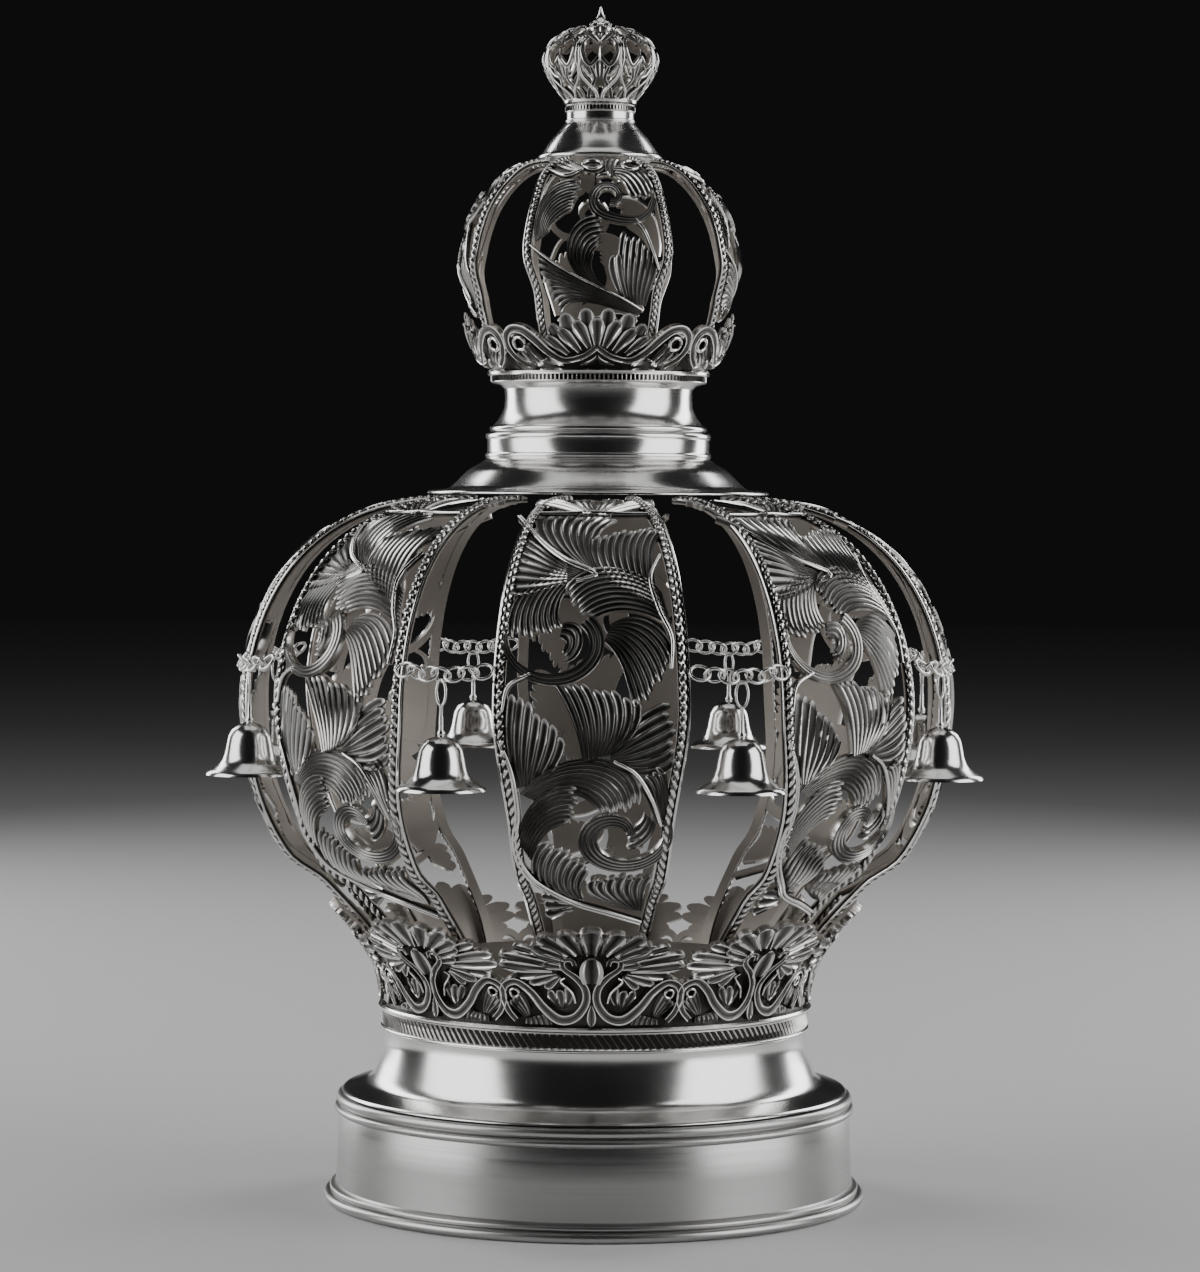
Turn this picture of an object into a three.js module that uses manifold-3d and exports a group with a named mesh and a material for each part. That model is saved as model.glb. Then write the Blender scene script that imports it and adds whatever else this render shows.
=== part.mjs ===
// A silver Torah crown: a big eight-ribbed crown on a hollow foot, a small four-ribbed
// crown on its neck, a pierced bud on top, and bells on short chains between the ribs.
// Millimetres, +Z up, origin at the centre of the underside.
import * as THREE from 'three';
import { mergeVertices } from 'three/addons/utils/BufferGeometryUtils.js';
import Module from 'manifold-3d';

const wasm = await Module();
wasm.setup();

// ---- driving dimensions ----
const RIBS = 8;
const SMALL_RIBS = 4;
const BIG_SIDES = 24; // facets of the large turned pieces
const SMALL_SIDES = 20; // facets of the small turned pieces
const GAP = 0.4; // clear gap between pieces that rest on each other

const FOOT_RADIUS = 91.2; // over the rolled rim
const BAND_RADIUS = 88.4; // plain band, at its lower edge
const BAND_TOP_RADIUS = 86;
const FOOT_HEIGHT = 36;
const COVE_TOP = 64.6;
const COVE_TOP_RADIUS = 71.7;
const PLATE_TOP = 80;
const PLATE_RADIUS = 64.6;
const WALL = 1.3; // spun sheet of the turned pieces

const BIG_RADIUS = 119.7; // big crown at its widest
const BIG_WIDEST = 169.4;
const BIG_TOP = 236.2;
const CAP_EDGE_RADIUS = 57.5;
const CAP_TOP = 257.2;
const NECK_TOP = 277;

const SMALL_RADIUS = 48; // small crown at its widest
const SMALL_WIDEST = 311.2;
const SMALL_TOP = 348.3;
const DOME_TOP = 367;
const BUD_TOP = 393.4;
const TIP = 400;

const CHAIN_HEIGHT = 182.6;
const CHAIN_LINKS = 7; // odd: open rings at both ends
const CHAIN_RADIUS = 119.9; // where the end links lie on the rails
const CHAIN_HALF_ANGLE = THREE.MathUtils.degToRad(7.8);
const CHAIN_BOW = 3; // the middle hangs this far out from the chord
const CHAIN_SAG = 1.6;
const WIRE = 0.6; // half the thickness of a link's wire
const KNUCKLE = 0.75; // half the thickness where two links hook
const LINK_HALF_BREADTH = 2.6;
const BELL_RADIUS = 14.2; // mouth
const BELL_MOUTH = 145;
const BELL_TOP = 162;
const BELL_CIRCLE = 121.6; // the bells hang on this radius

// ---- materials ----
const SILVER = { color: 0xc9c7c3, metalness: 1 };
const POLISHED = { ...SILVER, roughness: 0.12 };
const SATIN = { ...SILVER, roughness: 0.34 };
const CAST = { ...SILVER, roughness: 0.26 };
const MATTE = { color: 0x8e857a, metalness: 0.6, roughness: 0.7 };

// ---- solids ----
function toManifold(geometry) {
  const merged = mergeVertices(geometry, 1e-4);
  return new wasm.Manifold(new wasm.Mesh({
    numProp: 3,
    vertProperties: new Float32Array(merged.attributes.position.array),
    triVerts: new Uint32Array(merged.index.array),
  }));
}

function toGeometry(solid) {
  const mesh = solid.getMesh();
  const geometry = new THREE.BufferGeometry();
  geometry.setAttribute('position', new THREE.BufferAttribute(new Float32Array(mesh.vertProperties), 3));
  geometry.setIndex(new THREE.BufferAttribute(new Uint32Array(mesh.triVerts), 1));
  return geometry;
}

function join(geometries) {
  const solids = geometries.map(toManifold);
  return toGeometry(solids.reduce((whole, solid) => whole.add(solid)));
}

// A closed skin over rings of points; a ring of one point is a sharp end.
function loft(rings, closed = false) {
  const points = rings.flat();
  const starts = rings.map((ring, i) => rings.slice(0, i).flat().length);
  const faces = [];
  const spans = closed ? rings.length : rings.length - 1;
  for (let i = 0; i < spans; i += 1) {
    const j = (i + 1) % rings.length;
    const sides = Math.max(rings[i].length, rings[j].length);
    for (let k = 0; k < sides; k += 1) {
      const a = starts[i] + (k % rings[i].length);
      const b = starts[i] + ((k + 1) % rings[i].length);
      const c = starts[j] + (k % rings[j].length);
      const d = starts[j] + ((k + 1) % rings[j].length);
      if (a !== b) faces.push(a, b, d);
      if (c !== d) faces.push(a, d, c);
    }
  }
  if (!closed) {
    const last = rings.length - 1;
    for (let k = 2; k < rings[0].length; k += 1) faces.push(starts[0], starts[0] + k, starts[0] + k - 1);
    for (let k = 2; k < rings[last].length; k += 1) {
      faces.push(starts[last], starts[last] + k - 1, starts[last] + k);
    }
  }
  const geometry = new THREE.BufferGeometry().setFromPoints(points);
  geometry.setIndex(faces);
  if (signedVolume(points, faces) < 0) geometry.index.array.reverse();
  return geometry;
}

function signedVolume(points, faces) {
  let sum = 0;
  for (let i = 0; i < faces.length; i += 3) {
    const [a, b, c] = [points[faces[i]], points[faces[i + 1]], points[faces[i + 2]]];
    sum += a.dot(new THREE.Vector3().crossVectors(b, c));
  }
  return sum;
}

// A turned solid about the Z axis. Its outline of [radius, height] closes on itself, and
// one that is solid at the middle begins with its two points on the axis.
function turned(outline, sides) {
  const points = outline.map(([radius, height]) => new THREE.Vector2(radius, height));
  const first = points[0].clone();
  if (first.x === 0) points.shift();
  points.push(first);
  const geometry = new THREE.LatheGeometry(points, sides).rotateX(Math.PI / 2);
  geometry.deleteAttribute('normal');
  geometry.deleteAttribute('uv');
  const merged = mergeVertices(geometry, 1e-4);
  const faces = withoutSlivers(merged.index.array);
  const corners = Array.from({ length: merged.attributes.position.count }, (_, i) => (
    new THREE.Vector3().fromBufferAttribute(merged.attributes.position, i)));
  merged.setIndex(signedVolume(corners, faces) < 0 ? faces.reverse() : faces);
  return merged;
}

// The faces that still have three corners after those at one place are merged.
function withoutSlivers(index) {
  const kept = [];
  for (let i = 0; i < index.length; i += 3) {
    const [a, b, c] = [index[i], index[i + 1], index[i + 2]];
    if (a !== b && b !== c && c !== a) kept.push(a, b, c);
  }
  return kept;
}

// ---- the bellied shells that the ribs and galleries follow ----
function shell(foot, footPull, waist, widest, crownPull, top) {
  const path = new THREE.Path();
  path.moveTo(...foot);
  path.bezierCurveTo(...footPull, ...waist, ...widest);
  path.bezierCurveTo(...crownPull, ...top);
  return path;
}

const bigShell = shell(
  [COVE_TOP_RADIUS, COVE_TOP + GAP],
  [COVE_TOP_RADIUS, 101.6],
  [BIG_RADIUS, 102.1],
  [BIG_RADIUS, BIG_WIDEST],
  [BIG_RADIUS, 181.9, 113.5, BIG_TOP],
  [50, BIG_TOP],
);

const smallShell = shell(
  [36.2, NECK_TOP + GAP],
  [45.2, 283.8],
  [SMALL_RADIUS, 305],
  [SMALL_RADIUS, SMALL_WIDEST],
  [SMALL_RADIUS, 323.7, 39.4, SMALL_TOP],
  [20.2, SMALL_TOP],
);

// A point v up along a shell and w out from it, at an angle about the axis.
function onShell(path, v, w, angle) {
  const along = THREE.MathUtils.clamp(v / path.getLength(), 0, 1);
  const point = path.getPoint(along);
  const tangent = path.getTangent(along);
  const radius = point.x + w * tangent.y;
  return new THREE.Vector3(radius * Math.cos(angle), radius * Math.sin(angle), point.y - w * tangent.x);
}

// Lays a flat design on a shell: u runs around it, v up along it, w stands out from it.
function lay(geometry, path, turn, sink) {
  const laid = geometry.clone();
  const at = laid.attributes.position;
  for (let i = 0; i < at.count; i += 1) {
    const [u, v, w] = [at.getX(i), at.getY(i), at.getZ(i)];
    const radius = path.getPoint(THREE.MathUtils.clamp(v / path.getLength(), 0, 1)).x;
    const point = onShell(path, v, w - sink(v), turn + u / radius);
    at.setXYZ(i, point.x, point.y, point.z);
  }
  return laid;
}

// ---- the flat design: ridged blades along curves ----
const BACK = -2.3; // the flat back of every blade

function blade(through, halfWidth, ridge, steps, widthAt, pointed) {
  const curve = new THREE.CatmullRomCurve3(through.map(([u, v]) => new THREE.Vector3(u, v, 0)));
  const rings = [];
  for (let i = 0; i <= steps; i += 1) {
    const t = i / steps;
    const middle = curve.getPointAt(t);
    if (i === steps && pointed) {
      rings.push([middle.setZ(BACK)]);
      break;
    }
    const tangent = curve.getTangentAt(t);
    const side = new THREE.Vector3(-tangent.y, tangent.x, 0).multiplyScalar(halfWidth * widthAt(t));
    rings.push([
      middle.clone().add(side).setZ(BACK),
      middle.clone().setZ(ridge),
      middle.clone().sub(side).setZ(BACK),
    ]);
  }
  return loft(rings);
}

const leafWidth = (t) => 0.35 + 0.65 * Math.sin(Math.PI * Math.min(1, t * 1.15));
const stemWidth = (t) => 1 - 0.35 * t;

const leaf = (through, halfWidth, steps = 2) => blade(through, halfWidth, -0.4, steps, leafWidth, true);
const stem = (through, halfWidth, steps) => blade(through, halfWidth, -0.2, steps, stemWidth, false);

// ---- ribs ----
// The rope edge of a rib: one loop up its right side and down its left.
function frame(halfWidthAt, end, steps, halfWidth) {
  const [low, high] = [halfWidth, end - halfWidth];
  const heights = Array.from({ length: steps + 1 }, (_, i) => low + ((high - low) * i) / steps);
  const right = heights.map((v) => [halfWidthAt(v) - halfWidth, v]);
  const left = right.map(([u, v]) => [-u, v]).reverse();
  const foot = [-0.5, 0, 0.5].map((share) => [share * right[0][0], low]);
  const corners = [...right, ...left, ...foot].map(([u, v]) => new THREE.Vector3(u, v, 0));
  const rings = corners.map((corner, i) => {
    const before = corners[(i + corners.length - 1) % corners.length];
    const after = corners[(i + 1) % corners.length];
    const into = corner.clone().sub(before).normalize();
    const onward = after.clone().sub(corner).normalize();
    const bisector = into.clone().add(onward).normalize();
    const mitre = halfWidth / bisector.dot(onward);
    const side = new THREE.Vector3(-bisector.y, bisector.x, 0).multiplyScalar(mitre);
    return [
      corner.clone().add(side).setZ(BACK),
      corner.clone().setZ(0),
      corner.clone().sub(side).setZ(BACK),
    ];
  });
  return loft(rings, true);
}

// The half width of a rib on its shell: an angle about the axis that opens in stages.
function halfWidthOn(path, footAngle, stages) {
  return (v) => {
    const radius = path.getPoint(THREE.MathUtils.clamp(v / path.getLength(), 0, 1)).x;
    const opening = stages.reduce((sum, [from, to, rise]) => (
      sum + rise * THREE.MathUtils.smoothstep(v, from, to)), footAngle);
    return radius * THREE.MathUtils.degToRad(opening);
  };
}

const ROPE = 1.9; // half the width of a big rib's rope edge
const SMALL_ROPE = 1.4;
const bigHalfWidth = halfWidthOn(bigShell, 13.2, [[80, 120, 1.8]]);
const smallHalfWidth = halfWidthOn(smallShell, 28, [[25, 45, 3.5], [55, 80, 2.5]]);

// Two volutes on rising stems, with their leaves: u across the rib, v up it.
function bigRibDesign() {
  return [
    frame(bigHalfWidth, bigShell.getLength(), 12, ROPE),
    stem([[6, 80], [-5, 74], [6, 64], [16, 74], [8, 95], [-13, 92], [-16, 70], [-5, 51], [16, 40]], 4, 8),
    stem([[-9, 140], [0, 134], [-12, 123], [-23, 139], [-6, 158], [18, 154], [21, 126], [7, 93]], 4, 8),
    leaf([[-6, 55], [-9, 66], [-3, 76]], 6.5),
    leaf([[-14, 86], [-15, 103], [-28.5, 117]], 9),
    leaf([[4, 96], [8, 110], [3, 126]], 8),
    leaf([[12, 157], [17, 172], [20, 190]], 9),
    leaf([[-4, 159], [-9, 174], [-13, 200]], 9),
  ];
}

const bigRib = join(bigRibDesign());
const bigSink = (v) => 3.7 * (1 - THREE.MathUtils.smoothstep(v, 47, 64));

function smallRibDesign() {
  return [
    frame(smallHalfWidth, smallShell.getLength(), 6, SMALL_ROPE),
    stem([[5, 37], [-4, 34], [-9, 43], [6, 53], [17, 38], [8, 22], [-19.5, 18]], 3, 8),
    leaf([[-4, 19], [-8, 27], [-17, 33]], 5.5),
    leaf([[-8, 45], [-14, 51], [-14, 64]], 6.5),
    leaf([[8, 53], [3, 62], [1, 76]], 7.5),
  ];
}

const smallRib = join(smallRibDesign());
const smallSink = (v) => 2.6 * (1 - THREE.MathUtils.smoothstep(v, 26, 40));

// ---- galleries: a ring of fluted palmettes with a scroll on each side ----
// One half of a module's crest, from its middle outward: share of the module, height, and
// whether the point is a flute's tip (1) or the valley beside it (0).
const LOWER_CREST = [
  [0, 1, 1],
  [0.12, 0.9, 0],
  [0.32, 0.93, 1],
  [0.42, 0.77, 0],
  [0.6, 0.83, 1],
  [0.68, 0.62, 0],
  [0.86, 0.7, 1],
  [1, 0.34, 0],
];
const UPPER_CREST = [
  [0, 1, 1],
  [0.12, 0.82, 0],
  [0.24, 0.9, 1],
  [0.36, 0.68, 0],
  [0.48, 0.7, 1],
  [0.56, 0.46, 0],
  [0.8, 0.73, 1],
  [1, 0.42, 0],
];
const HEART = 0.42; // height at which the flutes begin
const PINCH = 0.62; // how far the flutes draw together there

function gallery(path, count, crest, height, wall, relief) {
  const left = crest.slice(1, -1).reverse().map(([share, rise, tip]) => [-share, rise, tip]);
  const module = [...left, ...crest];
  const half = Math.PI / count;
  const rings = [];
  for (let k = 0; k < count; k += 1) {
    for (const [share, rise, tip] of module) {
      const turn = 2 * k * half;
      const pinch = Math.abs(share) < 0.7 ? PINCH : 1;
      const middle = Math.min(HEART, rise * 0.6) * height;
      const at = (v, w, narrow) => onShell(path, v, w, turn + share * narrow * half);
      rings.push([
        at(0, 0, 1),
        at(middle, relief * (0.4 + 0.6 * tip), pinch),
        at(rise * height, relief * (tip - 0.6), 1),
        at(middle, -wall, pinch),
        at(0, -wall, 1),
      ]);
    }
  }
  return loft(rings, true);
}

const lowerGallery = gallery(bigShell, RIBS, LOWER_CREST, 43, 2.2, 1);
const upperGallery = gallery(smallShell, SMALL_RIBS, UPPER_CREST, 24, 1.6, 0.8);

// ---- turned pieces ----
const footBand = turned([
  [BAND_RADIUS - 1.6, 0],
  [FOOT_RADIUS - 1.4, 0],
  [FOOT_RADIUS, 2],
  [BAND_RADIUS, 4.6],
  [BAND_TOP_RADIUS, FOOT_HEIGHT - 5],
  [BAND_TOP_RADIUS + 0.9, FOOT_HEIGHT - 2.4],
  [BAND_TOP_RADIUS - 0.8, FOOT_HEIGHT],
  [BAND_TOP_RADIUS - WALL - 1.2, FOOT_HEIGHT],
  [BAND_RADIUS - 1.6, 5],
], BIG_SIDES);

const baseCove = turned([
  [BAND_TOP_RADIUS - 3, FOOT_HEIGHT + GAP],
  [BAND_TOP_RADIUS - 0.8, FOOT_HEIGHT + GAP],
  [76.4, FOOT_HEIGHT + 3.6],
  [72.2, FOOT_HEIGHT + 13],
  [COVE_TOP_RADIUS - 0.6, 57],
  [COVE_TOP_RADIUS, COVE_TOP],
  [PLATE_RADIUS - 3, COVE_TOP],
  [COVE_TOP_RADIUS - 0.8 - WALL, 58],
  [72.2 - WALL, FOOT_HEIGHT + 13],
], BIG_SIDES);

const innerPlate = turned([
  [0, PLATE_TOP],
  [0, PLATE_TOP - WALL],
  [PLATE_RADIUS - WALL, PLATE_TOP - WALL],
  [PLATE_RADIUS - WALL, COVE_TOP + GAP],
  [PLATE_RADIUS, COVE_TOP + GAP],
  [PLATE_RADIUS, PLATE_TOP],
], BIG_SIDES);

const shoulderCap = turned([
  [50, BIG_TOP + 0.7],
  [CAP_EDGE_RADIUS, BIG_TOP + 0.7],
  [47.7, 240.6],
  [43.4, 245],
  [37.4, 248.6],
  [37.3, CAP_TOP],
  [37.3 - WALL, CAP_TOP],
  [37.3 - WALL, 248],
  [46.5, 239.2],
], BIG_SIDES);

const neckCollar = turned([
  [0, NECK_TOP],
  [0, NECK_TOP - WALL],
  [30.2, NECK_TOP - WALL],
  [30.6, 264.4],
  [35.7, CAP_TOP + GAP],
  [37, CAP_TOP + GAP],
  [31.9, 264.8],
  [31.5, 272.6],
  [36.4, 274.4],
  [36.4, NECK_TOP],
], SMALL_SIDES);

const domeCap = turned([
  [0, DOME_TOP],
  [0, DOME_TOP - WALL],
  [10.3, DOME_TOP - WALL],
  [10.3, 361],
  [19.6, SMALL_TOP + GAP],
  [21, SMALL_TOP + GAP],
  [14.2, 357],
  [11.4, 362],
  [11.8, DOME_TOP],
], SMALL_SIDES);

// ---- finial ----
const budShell = new THREE.Path();
budShell.moveTo(11.6, DOME_TOP + GAP);
budShell.bezierCurveTo(12.5, 371, 19.2, 375, 19.2, 381.7);
budShell.bezierCurveTo(19.2, 388, 12, 391, 4.4, BUD_TOP);

const PETALS = 8;
const PETAL_BACK = 1.4;

function petal(k) {
  const rings = [];
  const steps = 3;
  for (let i = 0; i <= steps; i += 1) {
    const t = i / steps;
    const point = budShell.getPoint(t);
    const tangent = budShell.getTangent(t);
    const half = Math.min(0.3 + 2.6 * Math.sin(Math.PI * t) ** 2, 2.5) + 0.6;
    const inner = new THREE.Vector3(point.x - PETAL_BACK * tangent.y, 0, point.y + PETAL_BACK * tangent.x);
    const ring = [-1, 1].map((side) => inner.clone().setY(side * half));
    ring.splice(1, 0, new THREE.Vector3(point.x, 0, point.y));
    rings.push(ring);
  }
  return loft(rings).rotateZ((k * 2 * Math.PI) / PETALS);
}

const budRings = [
  turned([[10.2, DOME_TOP + GAP], [12.2, DOME_TOP + GAP], [11.8, DOME_TOP + 2.4], [10.4, DOME_TOP + 2.4]], PETALS),
  turned([[0, BUD_TOP], [0, BUD_TOP - 1.6], [6.4, BUD_TOP - 2], [4, BUD_TOP]], PETALS),
];
const petals = Array.from({ length: PETALS }, (_, k) => petal(k));
const finialBud = join([...budRings, ...petals]);

const finialSpire = turned([
  [0, TIP],
  [0, BUD_TOP + GAP],
  [3.6, BUD_TOP + GAP],
  [2, BUD_TOP + 2],
], PETALS);

// ---- chains and bells ----
function wireRing(centre, along, across, halfLength, halfBreadth) {
  const normal = new THREE.Vector3().crossVectors(along, across);
  const rings = [];
  for (let i = 0; i < 4; i += 1) {
    const angle = (i * Math.PI) / 2;
    const out = along.clone().multiplyScalar(Math.cos(angle)).addScaledVector(across, Math.sin(angle));
    const middle = centre.clone()
      .addScaledVector(along, halfLength * Math.cos(angle))
      .addScaledVector(across, halfBreadth * Math.sin(angle));
    rings.push([0, 1, 2].map((j) => {
      const turn = (j * 2 * Math.PI) / 3;
      return middle.clone()
        .addScaledVector(out, 1.2 * WIRE * Math.cos(turn))
        .addScaledVector(normal, 1.2 * WIRE * Math.sin(turn));
    }));
  }
  return loft(rings, true);
}

// A chain hangs across one gap, its middle facing +X before it is turned into place.
function chainPoint(t) {
  const half = CHAIN_RADIUS * Math.sin(CHAIN_HALF_ANGLE);
  const hang = 1 - t * t;
  return new THREE.Vector3(
    CHAIN_RADIUS * Math.cos(CHAIN_HALF_ANGLE) + CHAIN_BOW * hang,
    half * t,
    CHAIN_HEIGHT - CHAIN_SAG * hang,
  );
}

// A skin over the faces of touching cells, each face given as a loop of corners.
function skin(loops) {
  const corners = loops.flatMap((loop) => (
    loop.slice(2).flatMap((corner, i) => [loop[0], loop[i + 1], corner])));
  const geometry = mergeVertices(new THREE.BufferGeometry().setFromPoints(corners), 1e-4);
  const points = Array.from({ length: geometry.attributes.position.count }, (_, i) => (
    new THREE.Vector3().fromBufferAttribute(geometry.attributes.position, i)));
  if (signedVolume(points, geometry.index.array) < 0) geometry.index.array.reverse();
  return geometry;
}

// Links seen face on are open rings; those between them are seen edge on, so each is a slim
// bead. Neighbours share the four corners of a knuckle.
function chain() {
  const zUp = new THREE.Vector3(0, 0, 1);
  const knuckles = [];
  const middles = [];
  for (let i = 0; i <= 2 * CHAIN_LINKS; i += 1) {
    const t = i / CHAIN_LINKS - 1;
    const centre = chainPoint(t);
    const along = chainPoint(t + 0.01).sub(chainPoint(t - 0.01)).normalize();
    const out = along.clone().cross(zUp).normalize();
    const up = out.clone().cross(along);
    (i % 2 ? middles : knuckles).push({ centre, out, up });
  }
  const place = ({ centre, out, up }, x, z) => (
    centre.clone().addScaledVector(out, x).addScaledVector(up, z));
  const round = (at, x, z) => [place(at, x, 0), place(at, 0, z), place(at, -x, 0), place(at, 0, -z)];
  const strip = (from, to) => from.map((corner, k) => {
    const next = (k + 1) % from.length;
    return [corner, from[next], to[next], to[k]];
  });
  const faces = [round(knuckles[0], KNUCKLE, KNUCKLE).reverse()];
  for (let i = 0; i < CHAIN_LINKS; i += 1) {
    const from = round(knuckles[i], KNUCKLE, KNUCKLE);
    const to = round(knuckles[i + 1], KNUCKLE, KNUCKLE);
    if (i % 2) {
      const waist = round(middles[i], LINK_HALF_BREADTH, WIRE);
      faces.push(...strip(from, waist), ...strip(waist, to));
      continue;
    }
    for (const side of [1, -1]) {
      const bow = [
        place(middles[i], WIRE, side * (LINK_HALF_BREADTH - WIRE)),
        place(middles[i], 0, side * LINK_HALF_BREADTH),
        place(middles[i], -WIRE, side * (LINK_HALF_BREADTH - WIRE)),
      ];
      const [first, last] = [from, to].map((ring) => [ring[0], ring[side > 0 ? 1 : 3], ring[2]]);
      const sheets = [...strip(first, bow), ...strip(bow, last)];
      faces.push(...(side > 0 ? sheets : sheets.map((loop) => loop.reverse())));
    }
  }
  faces.push(round(knuckles[CHAIN_LINKS], KNUCKLE, KNUCKLE));
  return skin(faces);
}

function bell() {
  const body = turned([
    [0, BELL_TOP],
    [0, BELL_TOP - 1.4],
    [5.6, BELL_TOP - 4.4],
    [7.2, BELL_MOUTH + 4.2],
    [BELL_RADIUS, BELL_MOUTH],
    [8.4, BELL_MOUTH + 4.6],
    [6.4, BELL_TOP - 3.4],
  ], 8);
  const bottom = BELL_TOP - 1;
  const top = CHAIN_HEIGHT - CHAIN_SAG - LINK_HALF_BREADTH - GAP;
  const up = new THREE.Vector3(0, 0, 1);
  const middle = up.clone().multiplyScalar((top + bottom) / 2);
  const hanger = wireRing(middle, up, new THREE.Vector3(0, 1, 0), (top - bottom) / 2 - WIRE, 2.4);
  return join([body, hanger]).translate(BELL_CIRCLE, 0, 0);
}

// ---- the whole crown ----
const crown = new THREE.Group();

function piece(name, geometry, finish) {
  const mesh = new THREE.Mesh(geometry, new THREE.MeshStandardMaterial(finish));
  mesh.name = name;
  crown.add(mesh);
  return mesh;
}

piece('foot_band', footBand, SATIN);
piece('base_cove', baseCove, POLISHED);
piece('inner_plate', innerPlate, MATTE);
piece('lower_gallery', lowerGallery, CAST);
for (let k = 0; k < RIBS; k += 1) {
  piece(`rib_${k + 1}`, lay(bigRib, bigShell, (k * 2 * Math.PI) / RIBS, bigSink), CAST);
}
piece('shoulder_cap', shoulderCap, POLISHED);
piece('neck_collar', neckCollar, POLISHED);
piece('upper_gallery', upperGallery, CAST);
for (let k = 0; k < SMALL_RIBS; k += 1) {
  piece(`small_rib_${k + 1}`, lay(smallRib, smallShell, (k * 2 * Math.PI) / SMALL_RIBS, smallSink), CAST);
}
piece('dome_cap', domeCap, POLISHED);
piece('finial_bud', finialBud, CAST);
piece('finial_spire', finialSpire, POLISHED);

const oneChain = chain();
const oneBell = bell();
for (let k = 0; k < RIBS; k += 1) {
  const turn = ((k + 0.5) * 2 * Math.PI) / RIBS;
  piece(`chain_${k + 1}`, oneChain, CAST).rotation.z = turn;
  piece(`bell_${k + 1}`, oneBell, POLISHED).rotation.z = turn;
}

export default crown;
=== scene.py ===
"""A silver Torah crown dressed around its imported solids.

Lengths are in millimetres and angles in degrees, unless a name says otherwise. Each mesh is
scaled to metres as it is made. Ornament is designed flat, as u across a rib or gallery,
v up it and w out of it, and then laid on the bellied shell that it follows.
"""
import math

import bpy
import numpy as np
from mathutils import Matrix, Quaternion, Vector


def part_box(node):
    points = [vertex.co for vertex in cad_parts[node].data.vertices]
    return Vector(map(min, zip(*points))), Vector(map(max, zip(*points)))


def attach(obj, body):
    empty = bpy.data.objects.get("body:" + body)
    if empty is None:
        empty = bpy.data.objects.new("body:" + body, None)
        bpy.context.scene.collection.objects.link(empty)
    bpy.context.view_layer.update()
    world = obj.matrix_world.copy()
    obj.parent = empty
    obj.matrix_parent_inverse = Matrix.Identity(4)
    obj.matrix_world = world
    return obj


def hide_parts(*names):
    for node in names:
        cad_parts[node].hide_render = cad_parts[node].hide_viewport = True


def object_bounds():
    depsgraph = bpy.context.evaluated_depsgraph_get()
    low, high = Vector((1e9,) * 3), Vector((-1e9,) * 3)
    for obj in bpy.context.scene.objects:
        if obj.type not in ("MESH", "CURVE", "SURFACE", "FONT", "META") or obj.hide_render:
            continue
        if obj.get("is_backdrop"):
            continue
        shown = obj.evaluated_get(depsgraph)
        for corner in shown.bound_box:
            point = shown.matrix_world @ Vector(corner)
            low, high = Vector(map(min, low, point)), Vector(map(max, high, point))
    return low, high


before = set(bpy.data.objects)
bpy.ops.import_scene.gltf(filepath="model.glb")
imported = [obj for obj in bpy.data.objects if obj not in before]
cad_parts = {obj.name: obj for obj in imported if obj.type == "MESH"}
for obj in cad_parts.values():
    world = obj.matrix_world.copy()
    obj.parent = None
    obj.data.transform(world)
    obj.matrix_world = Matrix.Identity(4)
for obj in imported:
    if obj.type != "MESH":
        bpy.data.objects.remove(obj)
cad_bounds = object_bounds()

MM = 0.001


def top(node):
    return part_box(node)[1].z / MM


def bottom(node):
    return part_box(node)[0].z / MM


def reach(node):
    """The largest radius of a round node."""
    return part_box(node)[1].x / MM


# ---- levels and radii, from the frame ----
RIBS = 8
SMALL_RIBS = 4
FOOT_TOP = top("foot_band")
COVE_LOW = bottom("base_cove")
COVE_TOP = top("base_cove")
GALLERY_LOW = bottom("lower_gallery")
PLATE_TOP = top("inner_plate")
CAP_LOW = bottom("shoulder_cap")
CAP_TOP = top("shoulder_cap")
NECK_LOW = bottom("neck_collar")
NECK_TOP = top("neck_collar")
CREST_LOW = bottom("upper_gallery")
DOME_LOW = bottom("dome_cap")
DOME_TOP = top("dome_cap")
BUD_LOW = bottom("finial_bud")
BUD_TOP = top("finial_bud")
SPIRE_LOW = bottom("finial_spire")
TIP = top("finial_spire")
BELL_MOUTH = bottom("bell_1")
FOOT_RADIUS = reach("foot_band")
BIG_RADIUS = 119.7
BIG_CROWN = CAP_LOW - 0.7
SMALL_RADIUS = 48
SMALL_CROWN = DOME_LOW - 0.4
COVE_TOP_RADIUS = 71.7

BACK = -2.3  # the flat back of the ribs' carving
BACK_STEP = 0.025  # between the backs of neighbouring leaves, so that no two coincide
ROPE = 1.9  # half the width of a big rib's edge
SMALL_ROPE = 1.4
OVAL = 0.85  # a volute's height over its breadth
LOBE_DEPTH = 2.2  # the deepest notch between two lobes of a leaf's tip
STEEPEST = 0.55  # the depth of a flute is at most this share of its breadth


# ---- curves ----
def bezier(corners, count):
    a, b, c, d = [np.array(corner, float) for corner in corners]
    t = np.linspace(0, 1, count)[:, None]
    return a * (1 - t) ** 3 + 3 * b * t * (1 - t) ** 2 + 3 * c * t ** 2 * (1 - t) + d * t ** 3


def heading(angle):
    return np.array([math.cos(math.radians(angle)), math.sin(math.radians(angle))])


def stroke(start, leaves, end, arrives, count):
    """A curve that leaves start at one heading and reaches end at another: close to a true arc
    where the two allow it."""
    start, end = np.array(start, float), np.array(end, float)
    chord = np.linalg.norm(end - start)
    turn = abs((arrives - leaves + 180) % 360 - 180)
    pull = chord / (3 * math.cos(math.radians(turn / 4)) ** 2)
    return bezier([start, start + pull * heading(leaves), end - pull * heading(arrives), end], count)


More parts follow.
